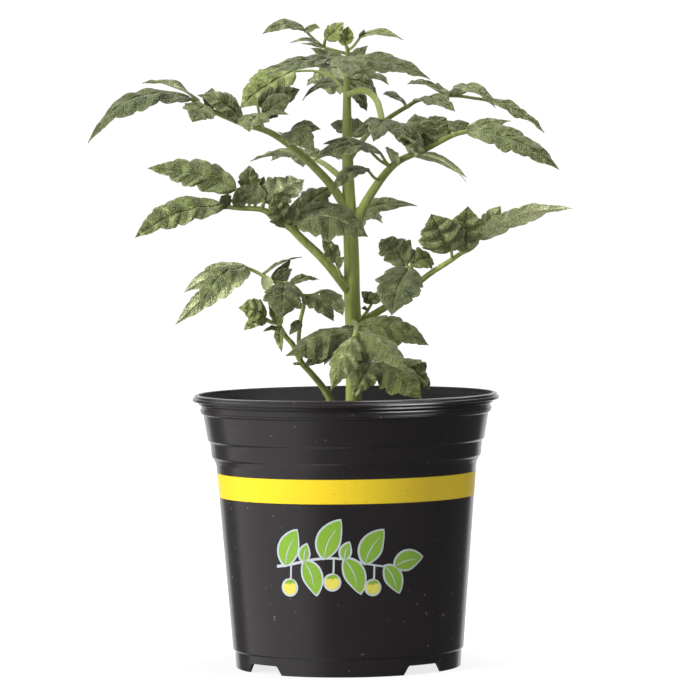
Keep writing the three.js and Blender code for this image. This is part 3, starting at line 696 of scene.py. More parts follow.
# Fronds. Each is one compound leaf, grown as one piece: a petiole from the stem that runs on as the rachis,
# and lobed, quilted leaflets along it. They are dull dark green above, paler and greyer underneath.
leaf = Finish("tomato_leaf", Specular_IOR_Level=0.3, Sheen_Weight=0.08, Sheen_Roughness=0.45,
              Sheen_Tint=paint(206, 214, 190))
along, across, _ = leaf.split(leaf.add("ShaderNodeUVMap", {"uv_map": "blade"}))
tone = leaf.add("ShaderNodeAttribute", {"attribute_name": "tone"}, output="Fac")
underside = leaf.add("ShaderNodeAttribute", {"attribute_name": "underside"}, output="Fac")
side_vein = 1 - abs((along + 0.5).fraction() - 0.5).ramp(0.02, 0.055)
midrib = 1 - across.ramp(0.02, 0.075)
vein = (side_vein * (1 - across * 0.75)).larger(midrib)
mottle = leaf.noise(110, 3, 0.6)
fine = leaf.noise(1300, 2, 0.6)
net = leaf.add("ShaderNodeTexVoronoi", {"feature": "DISTANCE_TO_EDGE"},
               {"Vector": leaf.place(), "Scale": 620.0}, output="Distance").ramp(0.0, 0.18)
puckers = leaf.add("ShaderNodeTexVoronoi", {"feature": "SMOOTH_F1"},
                   {"Vector": leaf.place(), "Scale": 300.0, "Smoothness": 0.6}, output="Distance") * -1
# Painted sheen: lighter streaks on one slope of each quilt between the side veins, where the light would
# catch it.
painted_sheen_streaks = 1 - abs((along + 0.5).fraction() - 0.32).ramp(0.02, 0.24)
painted_sheen_streaks = painted_sheen_streaks * leaf.noise(230, 2, 0.55).ramp(0.4, 0.58)
green = leaf.blend(mottle.ramp(0.3, 0.7), paint(54, 60, 37), paint(88, 95, 58))
# The tone lightens a leaflet and its underside. Part of it is the leaflet's own colour, with young leaflets
# yellower, and part is painted light where a leaflet looks strongly lit or lit through.
green = leaf.blend(tone, green, paint(160, 174, 92))
green = leaf.blend((1 - net) * 0.25, green, paint(112, 122, 78))
green = leaf.blend(painted_sheen_streaks * (tone * 2.6 + 0.15).ramp(0.0, 1.0) * 0.85, green, paint(172, 182, 128))
# Fine pale specks, partly pale hairs and partly painted sheen.
green = leaf.blend(fine.ramp(0.52, 0.66) * 0.35, green, paint(166, 174, 132))
# A paler margin. Part of it is the fringe of pale hairs, and part is painted sheen and painted light through
# the thin edge.
green = leaf.blend(across.ramp(0.88, 1.0) * 0.4, green, paint(156, 166, 120))
green = leaf.blend((side_vein * 0.15).larger(midrib * 0.5), green, paint(158, 167, 112))
pale = leaf.blend(mottle.ramp(0.3, 0.7), paint(146, 153, 108), paint(166, 173, 128))
pale = leaf.blend(tone, pale, paint(214, 220, 164))
pale = leaf.blend(painted_sheen_streaks * 0.6, pale, paint(212, 216, 176))
pale = leaf.blend(vein * 0.4, pale, paint(186, 193, 142))
leaf_material = leaf.done(
    Base_Color=leaf.blend(underside, green, pale),
    Roughness=0.46 + fine * 0.14,
    Normal=leaf.relief(fine, 0.00012, 0.5, leaf.relief(puckers + net * 0.3 - vein, 0.002, 0.8)),
)

# One lobe of a blade's margin, from notch to notch: how far on, and how deep the cut still is there. It has
# a small tooth on its lower slope, and its point lies towards the leaflet's tip.
LOBE = [(0.0, 1.0), (0.07, 0.64), (0.17, 0.42), (0.29, 0.27), (0.35, 0.25), (0.4, 0.33), (0.5, 0.15),
        (0.6, 0.04), (0.68, 0.0), (0.75, 0.03), (0.84, 0.22), (0.92, 0.58)]
POINT_PLACE = 0.68
# the points of a blade from its midrib to its margin, as shares of the half width
WIDE_COLUMNS = [0.0, 0.05, 0.13, 0.25, 0.4, 0.55, 0.7, 0.83, 0.93, 1.0]
NARROW_COLUMNS = [0.0, 0.07, 0.25, 0.5, 0.75, 0.92, 1.0]
RIB_HALF, RIB_DEPTH, GROOVE_DEPTH = 0.7, 0.55, 0.3
EDGE_THICKNESS, BLADE_THICKNESS = 0.16, 0.36
# how far a blade rises between its side veins, curls down at its margin, and crumples, for its width
QUILT_RISE, CURL, CRUMPLE = 0.26, 0.16, 0.012


class Growth:
    """What one frond is made of so far: points, faces, and for each point its vein place, its tone with
    painted light, and side.
    """

    def __init__(self):
        self.points, self.faces, self.stuff = [], [], []
        self.vein_places, self.tones, self.undersides = [], [], []

    def add(self, points, faces, stuff, vein_places=None, tones=0.0, undersides=None):
        first = len(self.points)
        count = len(points)
        self.points.extend(map(tuple, points))
        self.faces.extend([tuple(first + k for k in face) for face in faces])
        self.stuff.extend([stuff] * len(faces))
        self.vein_places.extend(vein_places if vein_places is not None else [(0.5, 0.5)] * count)
        self.tones.extend([tones] * count)
        self.undersides.extend(undersides if undersides is not None else [0.0] * count)


def tube(growth, path, radii, sides=10, per_span=5):
    """A round, closed stalk along a path."""
    steps = per_span * (len(path) - 1)
    spots = [along_path(path, k / steps) for k in range(steps + 1)]
    points = []
    side = None
    for k, spot in enumerate(spots):
        ahead = (spots[min(k + 1, steps)] - spots[max(k - 1, 0)]).normalized()
        start = side if side is not None else ahead.orthogonal()
        side = (start - ahead * start.dot(ahead)).normalized()
        other = ahead.cross(side)
        radius = radius_at(radii, k / steps)
        for j in range(sides):
            turn = 2 * math.pi * j / sides
            points.append(spot + side * radius * math.cos(turn) + other * radius * math.sin(turn))
    faces = []
    for k in range(steps):
        for j in range(sides):
            a, b = k * sides + j, k * sides + (j + 1) % sides
            faces.append((a, b, b + sides, a + sides))
    faces.append(tuple(reversed(range(sides))))
    faces.append(tuple(range(steps * sides, (steps + 1) * sides)))
    growth.add(points, faces, 1)


def margin(lobes, depth, dice):
    """One side of a blade from foot to tip: its rows (how far on, share of the half width), and how far on
    each lobe's point is."""
    knots = [0.0]
    for k in range(lobes):
        knots.append(knots[-1] + dice.uniform(0.8, 1.25) * (1.2 - 0.45 * k / lobes))
    rows, points = [], []
    for k in range(lobes):
        low, high = knots[k] / knots[-1], knots[k + 1] / knots[-1]
        deep = depth * dice.uniform(0.65, 1.25) * (1 - 0.6 * low) * min((1 - low) * 3, 1)
        bold = dice.uniform(0.93, 1.05)
        for on, left in LOBE:
            bare = k == 0 and on < 0.35
            rows.append((low + on * (high - low), bold * (1 - (0 if bare else left * deep))))
        points.append(low + POINT_PLACE * (high - low))
    rows.append((1.0, 1.0))
    return rows, points


def blade(growth, start, tip, width, face, arch, fold, tone, dice):
    """One leaflet: lobes pointing forward, an arched midrib with the halves folded up or, below 0, down,
    and quilted between its side veins."""
    start, tip, face = Vector(start), Vector(tip), Vector(face)
    along_blade = (tip - start).normalized()
    up = (face - along_blade * face.dot(along_blade)).normalized()
    side = along_blade.cross(up)
    length = (tip - start).length
    crest = (start + tip) / 2 + up * 2 * arch
    lobes = 5 if length >= 45 else 4 if width >= 13 else 3 if width >= 8 else 2
    depth = 0.36 if width >= 18 else 0.34 if width >= 12 else 0.26
    columns = WIDE_COLUMNS if width >= 12 else NARROW_COLUMNS
    swing = dice.uniform(-0.16, 0.16)
    sway = dice.uniform(-0.035, 0.035) * length
    wave = dice.uniform(0.025, 0.06) * width
    crumple = [(dice.uniform(5, 12), dice.uniform(1.5, 4), dice.uniform(0, 6.28)) for _ in range(3)]
    sides = [margin(lobes, depth * dice.uniform(0.85, 1.15), dice) for _ in range(2)]

    places = sorted({round(row[0], 3) for rows, _ in sides for row in rows})
    s = np.array([a for a, b in zip(places, places[1:]) if b - a > 0.004] + [1.0])
    hull = np.sin(np.pi * np.clip(s, 0, 1) ** 0.57) ** 0.95
    t = np.array([-c for c in reversed(columns[1:])] + columns)
    S, T = np.meshgrid(s, t, indexing="ij")
    H, V = np.zeros_like(S), np.zeros_like(S)
    for (rows, points), there in zip(sides, (t < 0, t >= 0)):
        out = np.interp(s, [r[0] for r in rows], [r[1] for r in rows])
        half = RIB_HALF * min(width / 16, 1) * (1 - s) + 0.5 * 1.03 * width * hull * out
        half[-1] = 0.1
        counted = np.interp(s, [0, *points, 1.0], [-0.45, *range(lobes), lobes - 0.45])
        H[:, there] = half[:, None]
        V[:, there] = counted[:, None]
    sweep = min(0.6 * width / 2 / length, 0.2)
    forward = (sweep * (1 - S) * np.abs(T) ** 1.3 * np.clip(S * 6, 0, 1)
               + 0.035 * T ** 2 * np.sin(np.pi * S) ** 0.5)
    A = np.clip(S + forward * np.clip((1 - S) * 5, 0, 1), 0, 1)
    b0, b1, b2 = (1 - A) ** 2, 2 * A * (1 - A), A ** 2
    centre = sum(b[..., None] * np.array(point) for b, point in ((b0, start), (b1, crest), (b2, tip)))
    ahead = 2 * (1 - A)[..., None] * np.array(crest - start) + 2 * A[..., None] * np.array(tip - crest)
    ahead /= np.linalg.norm(ahead, axis=-1, keepdims=True)
    flat = np.broadcast_to(np.array(side), ahead.shape)
    normal = np.cross(flat, ahead)
    lean = swing * (2 * A - 0.6)
    flat, normal = (flat * np.cos(lean)[..., None] + normal * np.sin(lean)[..., None],
                    normal * np.cos(lean)[..., None] - flat * np.sin(lean)[..., None])
    reach = np.abs(T) * H
    between = np.sin(np.pi * V) ** 2 * np.sin(np.pi * np.clip(np.abs(T), 0, 1)) ** 0.7
    angle = fold * (1 - 0.35 * np.abs(T))
    lift = np.sin(angle) * reach - CURL * reach ** 2 / max(width, 2)
    lift += QUILT_RISE * H * between
    lift += wave * np.sin(6.28 * V / 2 + (T > 0) * 1.7) * T ** 2 * np.sin(np.pi * S)
    for along_count, across_count, phase in crumple:
        lift += CRUMPLE * width * np.sin(along_count * A + across_count * T + phase) * np.sin(np.pi * S)
    lift -= GROOVE_DEPTH * np.exp(-(np.abs(T) / 0.06) ** 2) * (1 - S) * min(width / 16, 1)
    bend = sway * np.sin(np.pi * A)
    middle = centre + flat * (T * H * np.cos(angle) + bend)[..., None] + normal * lift[..., None]
    body = EDGE_THICKNESS + (BLADE_THICKNESS - EDGE_THICKNESS) * (1 - T ** 4)
    rib = RIB_DEPTH * np.exp(-(np.abs(T) / 0.07) ** 2) * (1 - 0.8 * S) * min(width / 20, 1)
    top = middle + normal * (body / 2)[..., None]
    low = middle - normal * (body / 2 + rib)[..., None]

    vein_places = [(float(a), float(b)) for a, b in zip(V.ravel(), np.abs(T).ravel())] * 2
    points = np.concatenate([top.reshape(-1, 3), low.reshape(-1, 3)])
    growth.add(points, sheet_faces(*T.shape), 0, vein_places, tone, [0.0] * T.size + [1.0] * T.size)


PETIOLULE = 0.7
PETIOLULE_SAG = 0.06
all_stalks = []


def grow_frond(name, *stalks):
    """Makes one frond from its stalks. A stalk holds its path, its two radii and a row for each leaflet:
    where it leaves the stalk, counted in points of the path; its tip; its width; the way that its upper
    face looks; how far its midrib arches; the angle of its halves; how light it is, partly its own colour
    and partly painted light; and, if a stalk of its own carries it, where its blade starts."""
    growth = Growth()
    dice = random.Random(name)
    for path, radii, *leaflets in stalks:
        tube(growth, path, radii)
        all_stalks.append((path, radii))
        for at, tip, width, face, arch, fold, tone, *start in leaflets:
            root = along_path(path, at / (len(path) - 1))
            if start:
                foot = Vector(start[0])
                bow = (root + foot) / 2 - Vector((0, 0, PETIOLULE_SAG * (foot - root).length))
                inside = foot + (Vector(tip) - foot).normalized() * 2
                tube(growth, [root, bow, foot, inside], [PETIOLULE + 0.2, PETIOLULE], 8, 4)
            else:
                foot = root
            blade(growth, foot, tip, width, face, arch, fold, tone, dice)
    frond = mesh_object(name + "_leaf", growth.points, growth.faces, [leaf_material, stem_material])
    mesh = frond.data
    mesh.polygons.foreach_set("material_index", growth.stuff)
    places = mesh.uv_layers.new(name="blade")
    corners = np.zeros(len(mesh.loops), int)
    mesh.loops.foreach_get("vertex_index", corners)
    places.data.foreach_set("uv", np.asarray(growth.vein_places, np.float32)[corners].ravel())
    for label, values in (("tone", growth.tones), ("underside", growth.undersides)):
        mesh.attributes.new(label, "FLOAT", "POINT").data.foreach_set("value", values)
    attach(frond, "root")
    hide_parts(name)


# Side shoot. A young shoot of the same green wood and leaf. It comes up through the compost beside the stem,
# bends out to the left, and carries a bright young leaf at its end and a full-grown one on a thin stalk.
grow_frond("side_shoot", (
    [(-5, -13, 112.3), (-5, -13, 126), (-6, -14, 137), (-8, -16, 145), (-12, -20, 153), (-19, -26, 162),
     (-24, -30, 168), (-28, -34, 177), (-32, -36, 182), (-36, -38, 189)], (2.3, 1.2),
    (9, (-57, -48, 198), 15, (-0.2, -0.85, 0.5), 3, 0.2, 0.6, (-43, -40, 192)),
    (9, (-54, -52, 186), 9, (-0.2, -0.8, 0.6), 1, 0.2, 0.5, (-43, -41, 191)),
    (8.7, (-34, -50, 174), 6, (-0.2, -0.9, 0.3), 2, 0.3, 0.25),
    (9, (-41, -38, 201), 4, (0, -0.9, 0.3), 0, 0.3, 0.6),
    (8.6, (-44, -46, 185), 4, (0, -0.7, 0.7), 1, 0.2, 0.35),
    (9, (-37, -36, 197), 3, (0, -1, 0.2), 0, 0.3, 0.7),
    (8.8, (-33, -44, 194), 3, (0, -1, 0.2), 0, 0.3, 0.7),
), (
    [(-24, -30, 167), (-26, -31, 167), (-28, -32, 167)], (1, 0.7),
), (
    [(-24, -31, 169), (-25, -34, 179), (-24, -36, 190), (-22, -38, 202), (-29, -38, 210), (-37, -36, 211),
     (-48, -34, 217), (-53, -32, 219)], (1.2, 0.9),
    (7, (-77, -52, 197), 19, (-0.5, -0.65, 0.6), 7, 0.1, 0.1),
    (6.6, (-92, -18, 188), 14, (0.1, 0.9, 0.35), 6, 0.2, 0.5),
    (6.8, (-88, 2, 205), 14, (0, 0.85, 0.5), 3, 0.15, 0.65),
    (5.6, (-23, -14, 224), 8, (0, 0.3, 0.95), 2, 0.2, 0.3),
    (5.2, (-29, -20, 223), 6, (0, -0.8, 0.5), 0, 0.3, 0.05),
    (5.6, (-40, -46, 206), 7, (0, 0.9, 0.3), 1, 0.15, 0.2),
    (5, (-28, -24, 218), 9, (0, 0.9, 0.3), 1, 0.15, 0.15),
    (4.4, (-34, -58, 192), 21, (0, -0.9, 0.4), 4, -0.15, 0.0),
    (4, (-14, -26, 212), 9, (0, -0.4, 0.9), 2, 0.2, 0.2),
    (3, (-6, -45, 190), 14, (0.25, -0.7, 0.7), 5, 0.2, 0.1),
    (3.2, (-1, -14, 192), 12, (0.4, 0.8, 0.4), 2, 0.1, 0.4, (-12, -24, 206)),
    (2, (-30, -44, 183), 6, (0, -0.9, 0.3), 1, 0.2, 0.0),
    (2.6, (-29, -30, 200), 4, (0, -0.9, 0.3), 0, 0.2, 0.1),
))

# Low front frond. The lowest of the big leaves hangs towards the viewer over the pot's lip. Four broad
# leaflets fan out near the end of its straight petiole, and two small dark ones hang behind them.
grow_frond("frond_low_front", (
    [(4, -1, 188), (6, -20, 187), (6, -36, 185), (5, -50, 182)], (1.9, 1.2),
    (2.2, (-32, -52, 172), 25, (-0.2, -0.8, 0.55), 7, -0.8, 0.05),
    (3, (-8, -76, 154), 18, (-0.1, -0.9, 0.45), 6, -0.75, 0.3),
    (2.4, (34, -66, 162), 19, (0.1, -0.8, 0.55), 7, -0.75, 0.15),
    (1.6, (45, -30, 176), 20, (0.05, -0.7, 0.7), 5, 0.1, 0.25),
    (1.6, (-23, -36, 165), 13, (-0.1, -0.9, 0.12), 2, 0.2, 0.0),
    (1.8, (9, -42, 164), 13, (0.3, -0.9, 0.2), 2, 0.2, 0.0),
))

# Lowest right frond. A small old leaf on a short petiole, down between the stem and the lip at the right.
# Its end leaflet is broad and bright, the one behind it greyish.
grow_frond("frond_lowest_right", (
    [(4, -1, 172), (12, -10, 171), (14, -15, 166), (17, -17, 165)], (1.5, 0.9),
    (2.8, (41, -32, 147), 21, (0.15, -0.85, 0.5), 5, -0.2, 0.4),
    (3, (46, 2, 150), 18, (0.3, -0.7, 0.6), 4, 0.2, 0.35, (28, -4, 165)),
    (2, (4, -38, 148), 15, (-0.1, -0.85, 0.5), 3, 0.15, 0.35),
    (2.6, (25, -6, 166), 8, (0, -0.6, 0.8), 1, 0.2, 0.0),
    (1.6, (6, -20, 162), 8, (0, -0.8, 0.4), 2, 0.2, 0.2),
))

# Low back frond. It leaves the stem at the height of the front one and runs straight back, out of the
# photograph's sight, with the usual five leaflets on its rachis.
grow_frond("frond_low_back", (
    [(4, 1, 169), (5, 26, 174), (5, 52, 174), (6, 78, 170)], (1.9, 0.9),
    (3, (6, 122, 153), 22, (0, 0.3, 0.95), 6, -0.2, 0.2),
    (2, (30, 58, 163), 16, (0.2, 0, 1), 4, 0.2, 0.2),
    (2, (-20, 56, 166), 16, (-0.2, 0, 1), 4, 0.2, 0.15),
    (3, (26, 102, 158), 17, (0.2, 0.2, 1), 4, 0.2, 0.2),
    (3, (-12, 100, 160), 17, (-0.2, 0.2, 1), 4, 0.2, 0.15),
))

# Middle right frond. A long petiole rises to the right. One leaflet hangs from it like a heart, two broad
# ones stand up crumpled, and the end one shows its pale underside. A tiny shoot grows in its axil.
grow_frond("frond_mid_right", (
    [(5, -1, 186), (17, -5, 193), (25, -8, 198), (36, -12, 206), (46, -14, 214), (57, -16, 221),
     (63, -17, 225), (69, -18, 228), (73, -19, 233)], (2.2, 0.9),
    (3.3, (25, -46, 193), 26, (-0.15, -0.9, 0.35), 3, 0.2, 0.0, (35, -24, 217)),
    (3.4, (20, -2, 233), 18, (0, -0.9, 0.4), 2, 0.2, 0.1, (34, -18, 219)),
    (3.5, (48, -8, 222), 15, (0.1, -0.8, 0.6), 2, 0.3, 0.3, (36, -18, 219)),
    (5.2, (47, -34, 247), 27, (-0.35, -0.9, 0.3), 2, 0.2, 0.15, (58, -20, 227)),
    (6.4, (67, -30, 251), 20, (0.15, -0.95, 0.2), 1, 0.25, 0.3),
    (8, (123, -26, 249), 16, (-0.1, 0.7, 0.7), 6, 0.2, 0.8),
    (8, (85, -20, 251), 13, (-0.4, 0.9, 0.1), 1, 0.1, 0.7),
), (
    [(8, -3, 189), (12, -9, 194), (15, -10, 199)], (0.9, 0.8),
    (2, (9, -13, 205), 7, (0, -0.9, 0.3), 1, 0.2, 0.0),
    (2, (21, -16, 205), 6, (0, -0.9, 0.3), 1, 0.2, 0.05),
    (1.8, (14, -14, 204), 4, (0, -0.9, 0.3), 0, 0.3, 0.7),
    (1, (9, -19, 196), 4, (0, -0.9, 0.3), 1, 0.2, 0.0),
))

# Middle left frond. The thickest petiole climbs to the left. Two long leaflets end it, folded up like
# gutters so that a pale edge shows below, and shorter ones crowd round the rachis, some turned over.
grow_frond("frond_mid_left", (
    [(3, -1, 204), (-10, -8, 221), (-23, -14, 234), (-29, -17, 240), (-37, -20, 245), (-44, -22, 250),
     (-56, -26, 251), (-65, -30, 252)], (2.7, 1.1),
    (7, (-112, -46, 236), 25, (-0.1, -0.6, 0.8), 4, 0.3, 0.2),
    (6.3, (-106, -16, 273), 22, (0, -0.75, 0.65), 2.5, 0.3, 0.15, (-58, -22, 261)),
    (5.6, (-51, -12, 274), 12, (0, -0.9, 0.3), 1, 0.2, 0.1, (-51, -18, 258)),
    (5.4, (-43, -12, 268), 5, (0, -0.9, 0.3), 1, 0.2, 0.0, (-46, -18, 258)),
    (5, (-21, -34, 266), 20, (0.1, 0.75, 0.65), 1, 0.2, 0.0, (-43, -22, 254)),
    (5.1, (-57, -34, 262), 14, (-0.2, 0.8, 0.6), 1, 0.2, 0.0, (-43, -24, 255)),
    (6, (-57, -36, 262), 8, (0, -0.95, 0.2), 0, 0.2, 0.0),
    (6.7, (-66, -36, 258), 9, (0, -0.9, 0.4), 0, 0.2, 0.0),
    (3.2, (-38, -32, 258), 14, (-0.1, -0.95, 0.3), 1, 0.15, 0.1),
    (3, (-24, -28, 257), 9, (0.1, -0.95, 0.2), 1, 0.2, 0.0),
    (3.1, (-6, 4, 261), 14, (0, -0.8, 0.6), 2, 0.2, 0.1, (-24, -12, 249)),
    (2.8, (1, -8, 251), 12, (0, -0.7, 0.7), 2, 0.2, 0.05, (-24, -16, 246)),
    (2.9, (13, -38, 235), 27, (0.1, -0.65, 0.75), 7, -0.3, 0.05, (-25, -20, 243)),
    (2.6, (-3, 24, 252), 16, (0, 0, 1), 3, 0.2, 0.1),
), (
    [(-1, -4, 211), (-3, -8, 216), (-4, -9, 221)], (0.9, 0.8),
    (2, (-12, -14, 235), 9, (0, -0.9, 0.3), 1, 0.2, 0.25),
    (1.5, (0, -16, 224), 5, (0, -0.9, 0.3), 1, 0.2, 0.1),
))

# Back right frond. Its petiole runs back from behind the stem. Only one leaflet looks out at the right.
grow_frond("frond_back_right", (
    [(4, 1, 227), (4, 28, 239), (4, 58, 244), (4, 88, 245)], (2.3, 1),
    (3, (4, 138, 232), 22, (0, 0.2, 1), 7, -0.2, 0.2),
    (2, (41, 58, 250), 11, (0, -0.75, 0.65), 8, 0.1, 0.1),
    (2, (-24, 62, 244), 16, (0, 0, 1), 3, 0.2, 0.15),
    (3, (22, 112, 240), 15, (0, 0, 1), 3, 0.2, 0.15),
    (3, (-16, 112, 240), 15, (0, 0, 1), 3, 0.2, 0.2),
))

# Upper right frond. A strong petiole arches over to a long toothed end leaflet. Small crumpled leaflets sit
# in a row along its upper side, two narrow pale ones hang below, and three reach back across the stem.
grow_frond("frond_upper_right", (
    [(4, -1, 234), (10, -4, 249), (15, -6, 258), (23, -10, 269), (31, -13, 276), (45, -18, 282),
     (59, -22, 289), (67, -24, 291)], (3, 1.1),
    (7, (116, -36, 270), 19, (0.15, -0.65, 0.75), 7, 0.1, 0.15),
    (6.9, (91, -14, 296.5), 10, (0, -0.6, 0.8), 1.5, 0.1, 0.25),
    (6.9, (97, -32, 288), 9, (0.1, -0.6, 0.8), 2, 0.1, 0.15),
    (6.2, (65, -12, 297), 13, (0, -0.8, 0.6), 1, 0.2, 0.1),
    (5.5, (50, -8, 300), 18, (0, -0.9, 0.4), 1.5, 0.3, 0.1),
    (5, (39, -8, 301), 18, (0, -0.9, 0.4), 1.5, 0.3, 0.08),
    (4.9, (22, -32, 293), 19, (0, -0.75, 0.65), 3, 0.2, 0.12),
    (4.4, (31, -38, 289), 11, (0, -0.8, 0.6), 2, 0.2, 0.15),
    (3.6, (23, -34, 283), 9, (0, -0.8, 0.6), 2, 0.2, 0.1),
    (4.4, (67, -6, 266), 9, (0, 0.5, 0.85), 4.5, 0.35, 0.3),
    (4.4, (66, -34, 264), 8, (0, 0.3, 0.95), 4.5, 0.3, 0.6),
    (3.4, (-16, -42, 276), 15, (0, -0.55, 0.83), 7, 0.1, 0.05, (20, -22, 280)),
    (3.4, (-11, -34, 285), 8, (0, -0.6, 0.8), 3, 0.1, 0.05, (12, -26, 284)),
    (2.6, (-6, -40, 260), 12, (-0.2, -0.65, 0.7), 5, 0.1, 0.05, (13, -20, 271)),
))

# Upper left frond. The longest one. Its end leaflet droops in a bow with its near half folded down, smaller
# ones lie crumpled on the rachis, and a dark bunch of them stands where it leaves the stem's side.
grow_frond("frond_upper_left", (
    [(2, 0, 249), (-7, -4, 263), (-18, -10, 275), (-28, -16, 284), (-40, -22, 292), (-55, -30, 297),
     (-71, -38, 304), (-81, -42, 310)], (2.6, 1.1),
    (7, (-136, -54, 287), 20, (-0.1, -0.5, 0.87), 15, -0.25, -0.12),
    (6.6, (-108, -24, 319), 15, (0, 0.3, 0.95), 4.5, 0.2, 0.05),
    (6.3, (-80, -62, 297.5), 18, (0.1, -0.85, 0.5), 2, 0.1, 0.1),
    (6, (-70, -30, 316), 8, (0, -0.6, 0.8), 1, 0.2, 0.0),
    (5.6, (-60, -22, 311), 6, (0, -0.6, 0.8), 1, 0.2, 0.05),
    (5, (-78, -34, 312), 15, (0, -0.7, 0.7), 7, 0.2, 0.1),
    (4.6, (-50, -58, 292), 18, (-0.2, -0.8, 0.55), 2, 0.1, 0.15, (-44, -30, 301)),
    (4.4, (-27, -34, 311), 13, (0.15, -0.9, 0.4), 1, 0.1, 0.0, (-43, -28, 301)),
    (4.5, (-29, -44, 301), 6, (0, -0.6, 0.8), 2, 0.2, 0.0, (-43, -30, 300)),
    (4.2, (-23, -10, 315), 13, (0.3, -0.95, 0.1), 1, 0.1, 0.0, (-46, -16, 307)),
    (3, (-15, -50, 281), 17, (0.1, -0.9, 0.4), 6, 0.1, 0.0, (-29, -26, 291)),
    (3, (-12, -30, 293), 10, (0, -0.8, 0.6), 2, 0.2, 0.0, (-28, -25, 292)),
    (3, (-35, -30, 292), 7, (0, -0.7, 0.7), 1, 0.2, 0.15),
))

# Back left frond. It runs back from the stem, and one thin pale leaflet edge shows past the left petioles.
grow_frond("frond_back_left", (
    [(2, 1, 264), (-10, 22, 274), (-17, 48, 277), (-20, 80, 279)], (1.8, 0.9),
    (3, (-23, 128, 272), 22, (0, 0.3, 0.95), 6, -0.2, 0.2),
    (2.2, (-52, 62, 276), 16, (0, 0.15, 1), 3, 0.2, 0.4),
    (2.2, (2, 66, 275), 14, (0, 0, 1), 3, 0.2, 0.15),
    (2.9, (-41, 106, 276), 15, (0, 0.1, 1), 3, 0.2, 0.2),
    (2.9, (-2, 108, 276), 15, (0, 0.1, 1), 3, 0.2, 0.15),
))

# Top right frond. A slim petiole arches over to the right and back. Its leaflets are narrow, droop at their
# tips, and lie nearly edge on in the photograph.
grow_frond("frond_top_right", (
    [(3, 1, 276), (14, 12, 291), (25, 18, 299), (35, 20, 305), (43, 22, 309), (60, 24, 311), (76, 26, 309)],
    (1.5, 0.9),
    (6, (111, 30, 290), 15, (0.2, -0.35, 0.9), 3, 0.2, 0.3),
    (5, (83, -4, 304), 16, (0.1, -0.3, 0.95), 7, 0.2, 0.2),
    (4.8, (36, 44, 318), 16, (0, 0.2, 1), 3, 0.2, 0.1),
    (3.8, (61, -12, 302), 15, (0.1, -0.55, 0.8), 4, 0.1, 0.1),
    (3, (22, 2, 312), 12, (0, -0.7, 0.7), 2, 0.2, 0.0),
    (5.2, (76, 60, 316), 12, (0, -0.1, 1), 3, 0.2, 0.2),
    (1, (-7, 28, 296), 12, (0, -0.9, 0.3), 2, 0.2, 0.0),
    (1, (12, 30, 296), 9, (0, -0.9, 0.3), 1, 0.2, 0.0),
))

# Drooping right frond. Its flat petiole bends over like a hook and comes down in front of the one behind,
# and a bunch of dark crumpled leaflets hangs at its end.
grow_frond("frond_drooping_right", (
    [(3, -1, 312), (12, -12, 314), (18, -20, 309), (20, -30, 303), (21, -42, 297)], (1.8, 1.7),
    (4, (16, -70, 286), 12, (0.1, -0.8, 0.5), 2, 0.1, 0.0),
    (4, (5, -54, 289), 8, (0, -0.7, 0.7), 1, 0.1, 0.0),
    (4, (34, -60, 290), 9, (0, -0.7, 0.7), 1, 0.1, 0.0),
    (4, (10, -52, 295), 6, (0, -0.8, 0.6), 1, 0.1, 0.0),
))

# Top front frond. It points at the viewer just under the growing tip. Its end leaflet is seen head on, and
# two long pairs droop to both sides like a roof.
grow_frond("frond_top_front", (
    [(3, -1, 321), (3, -12, 325), (3, -26, 329), (3, -40, 331)], (1.3, 0.9),
    (3, (3, -78, 320), 21, (0, -0.85, 0.5), 4, -0.2, 0.05),
    (2.2, (-42, -50, 325), 13, (0, -0.4, 0.92), 3.5, 0.1, 0.0),
    (1.2, (-41, -20, 323), 13, (0, -0.25, 0.97), 3.5, 0.1, 0.0),
    (1.5, (-17, -18, 337), 9, (0, -0.8, 0.6), 1, 0.1, 0.0),
    (2.2, (47, -46, 319), 17, (0, -0.55, 0.83), 4.5, 0.1, 0.05),
    (1.2, (27, -8, 326), 11, (0, -0.2, 1), 4, 0.1, 0.0),
    (1.5, (14, -18, 338), 8, (0, -0.8, 0.6), 1, 0.1, 0.0),
))

# Top back frond. It runs back from the stem. Its near leaflets round the stem are light and yellowish,
# partly painted light shining through them, and a broad light one hangs down at the left on a stalk of its
# own.
grow_frond("frond_top_back", (
    [(3, 1, 311), (3, 18, 320), (3, 42, 322), (3, 64, 322)], (1.3, 0.8),
    (3, (3, 108, 311), 20, (0, 0.2, 1), 6, -0.2, 0.2),
    (1.2, (-18, 34, 320), 20, (-0.2, 0.85, 0.5), 1, 0.1, 0.3),
    (1.6, (22, 34, 328), 11, (0.1, 0.8, 0.6), 2, 0.1, 0.3),
    (0.7, (-22, 18, 309), 9, (0, -0.6, 0.8), 6, 0.1, 0.0),
    (1, (19, 28, 311), 12, (0.2, -0.8, 0.6), 4, 0.1, 0.1),
    (0.4, (13, 24, 303), 8, (0.1, -0.9, 0.4), 3, 0.1, 0.1),
    (2.4, (-20, 76, 318), 14, (0, 0, 1), 3, 0.2, 0.15),
    (2.4, (26, 76, 318), 14, (0, 0, 1), 3, 0.2, 0.15),
), (
    [(3, 1, 311), (-5, 6, 321), (-15, 8, 325), (-26, 8, 325)], (0.8, 0.6),
    (3, (-56, 0, 305), 24, (-0.5, -0.75, 0.45), 3, 0.1, 0.5),
))

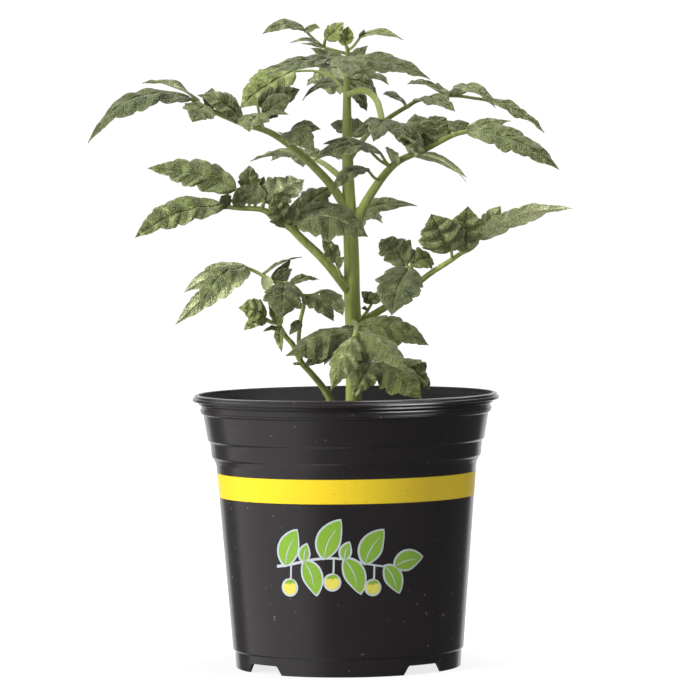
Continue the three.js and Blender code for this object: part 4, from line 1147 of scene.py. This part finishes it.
# Growing tip. The youngest leaves, still small, thin and yellow-green, on soft stalks round the end of the
# stem. The two at its middle stand upright.
grow_frond("growing_tip", (
    [(2.8, 0, 332.3), (3, -2, 336), (2, -3, 339)], (1.3, 0.9),
    (2, (3.5, -6, 349), 8, (0, -0.9, 0.3), 0, 0.3, 1.0),
    (1.8, (-1, 4, 346), 5, (0, -0.9, 0.3), 0, 0.2, 0.9),
), (
    [(3, -1, 334), (-4, -2, 336), (-10, -3, 338), (-15, -3, 342), (-20, -3, 347)], (0.9, 0.7),
    (4, (-43, -12, 345), 11, (0, -0.55, 0.85), 5, 0.1, 0.1),
    (4, (-12, -10, 348), 8, (0, -0.7, 0.7), 1, 0.1, 0.1),
    (2.2, (-28, -14, 340), 6, (0, -0.5, 0.87), 3, 0.1, 0.15),
    (1.6, (-22, 3, 340), 4, (0, -0.4, 0.9), 1, 0.1, 0.1),
    (2, (1, -8, 351), 10, (0.1, -0.9, 0.3), 0, 0.2, 0.6, (-9, -5, 342)),
), (
    [(3, -2, 336), (6, -3, 338), (10, -3, 343)], (0.8, 0.7),
    (2, (33, -10, 341), 8, (0, -0.5, 0.87), 4, 0.1, 0.3),
    (2, (12, -9, 347), 4, (0, -0.6, 0.8), 0, 0.2, 0.3),
))


# Hairs. Short, pale, straight hairs stand all over the main stem and every petiole, where they catch the
# light as a faint fuzz.
hair_sizes = {"Density": 0.5 / MM ** 2, "Length": 1.1 * MM, "Thickness": 0.045 * MM, "Seed": 4}
grow, given = new_tree("stem_hairs", hair_sizes)
points = grow.add("GeometryNodeDistributePointsOnFaces", None, {
    "Mesh": given["Geometry"], "Density": given["Density"], "Seed": given["Seed"]})
hair = grow.add("GeometryNodeMeshCone", None, {
    "Vertices": 3, "Radius Top": 0.0, "Radius Bottom": given["Thickness"], "Depth": given["Length"]})
long_or_short = grow.add("FunctionNodeRandomValue", None, {2: 0.45, 3: 1.15, "Seed": 21}, output=1)
standing = grow.add("GeometryNodeInstanceOnPoints", None, {
    "Points": points, "Instance": hair, "Rotation": points.also("Rotation"), "Scale": long_or_short})
hair_finish = Finish("pale_hairs", Roughness=0.5, Specular_IOR_Level=0.4)
hair_material = hair_finish.done(
    Base_Color=hair_finish.blend(hair_finish.noise(300, 1), paint(196, 202, 170), paint(222, 226, 206)))
end_tree(grow, standing, hair_material)
skin = Growth()
for path, radii in [*all_stalks, (MAIN_STEM[1:], STEM_RADII[1:])]:
    tube(skin, path, radii, 8, 4)
hairy = mesh_object("hair_ground", skin.points, skin.faces, [])
hairs = grown_mesh("plant_hairs", hairy, grow, hair_sizes)
bpy.data.objects.remove(hairy)
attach(hairs, "root")
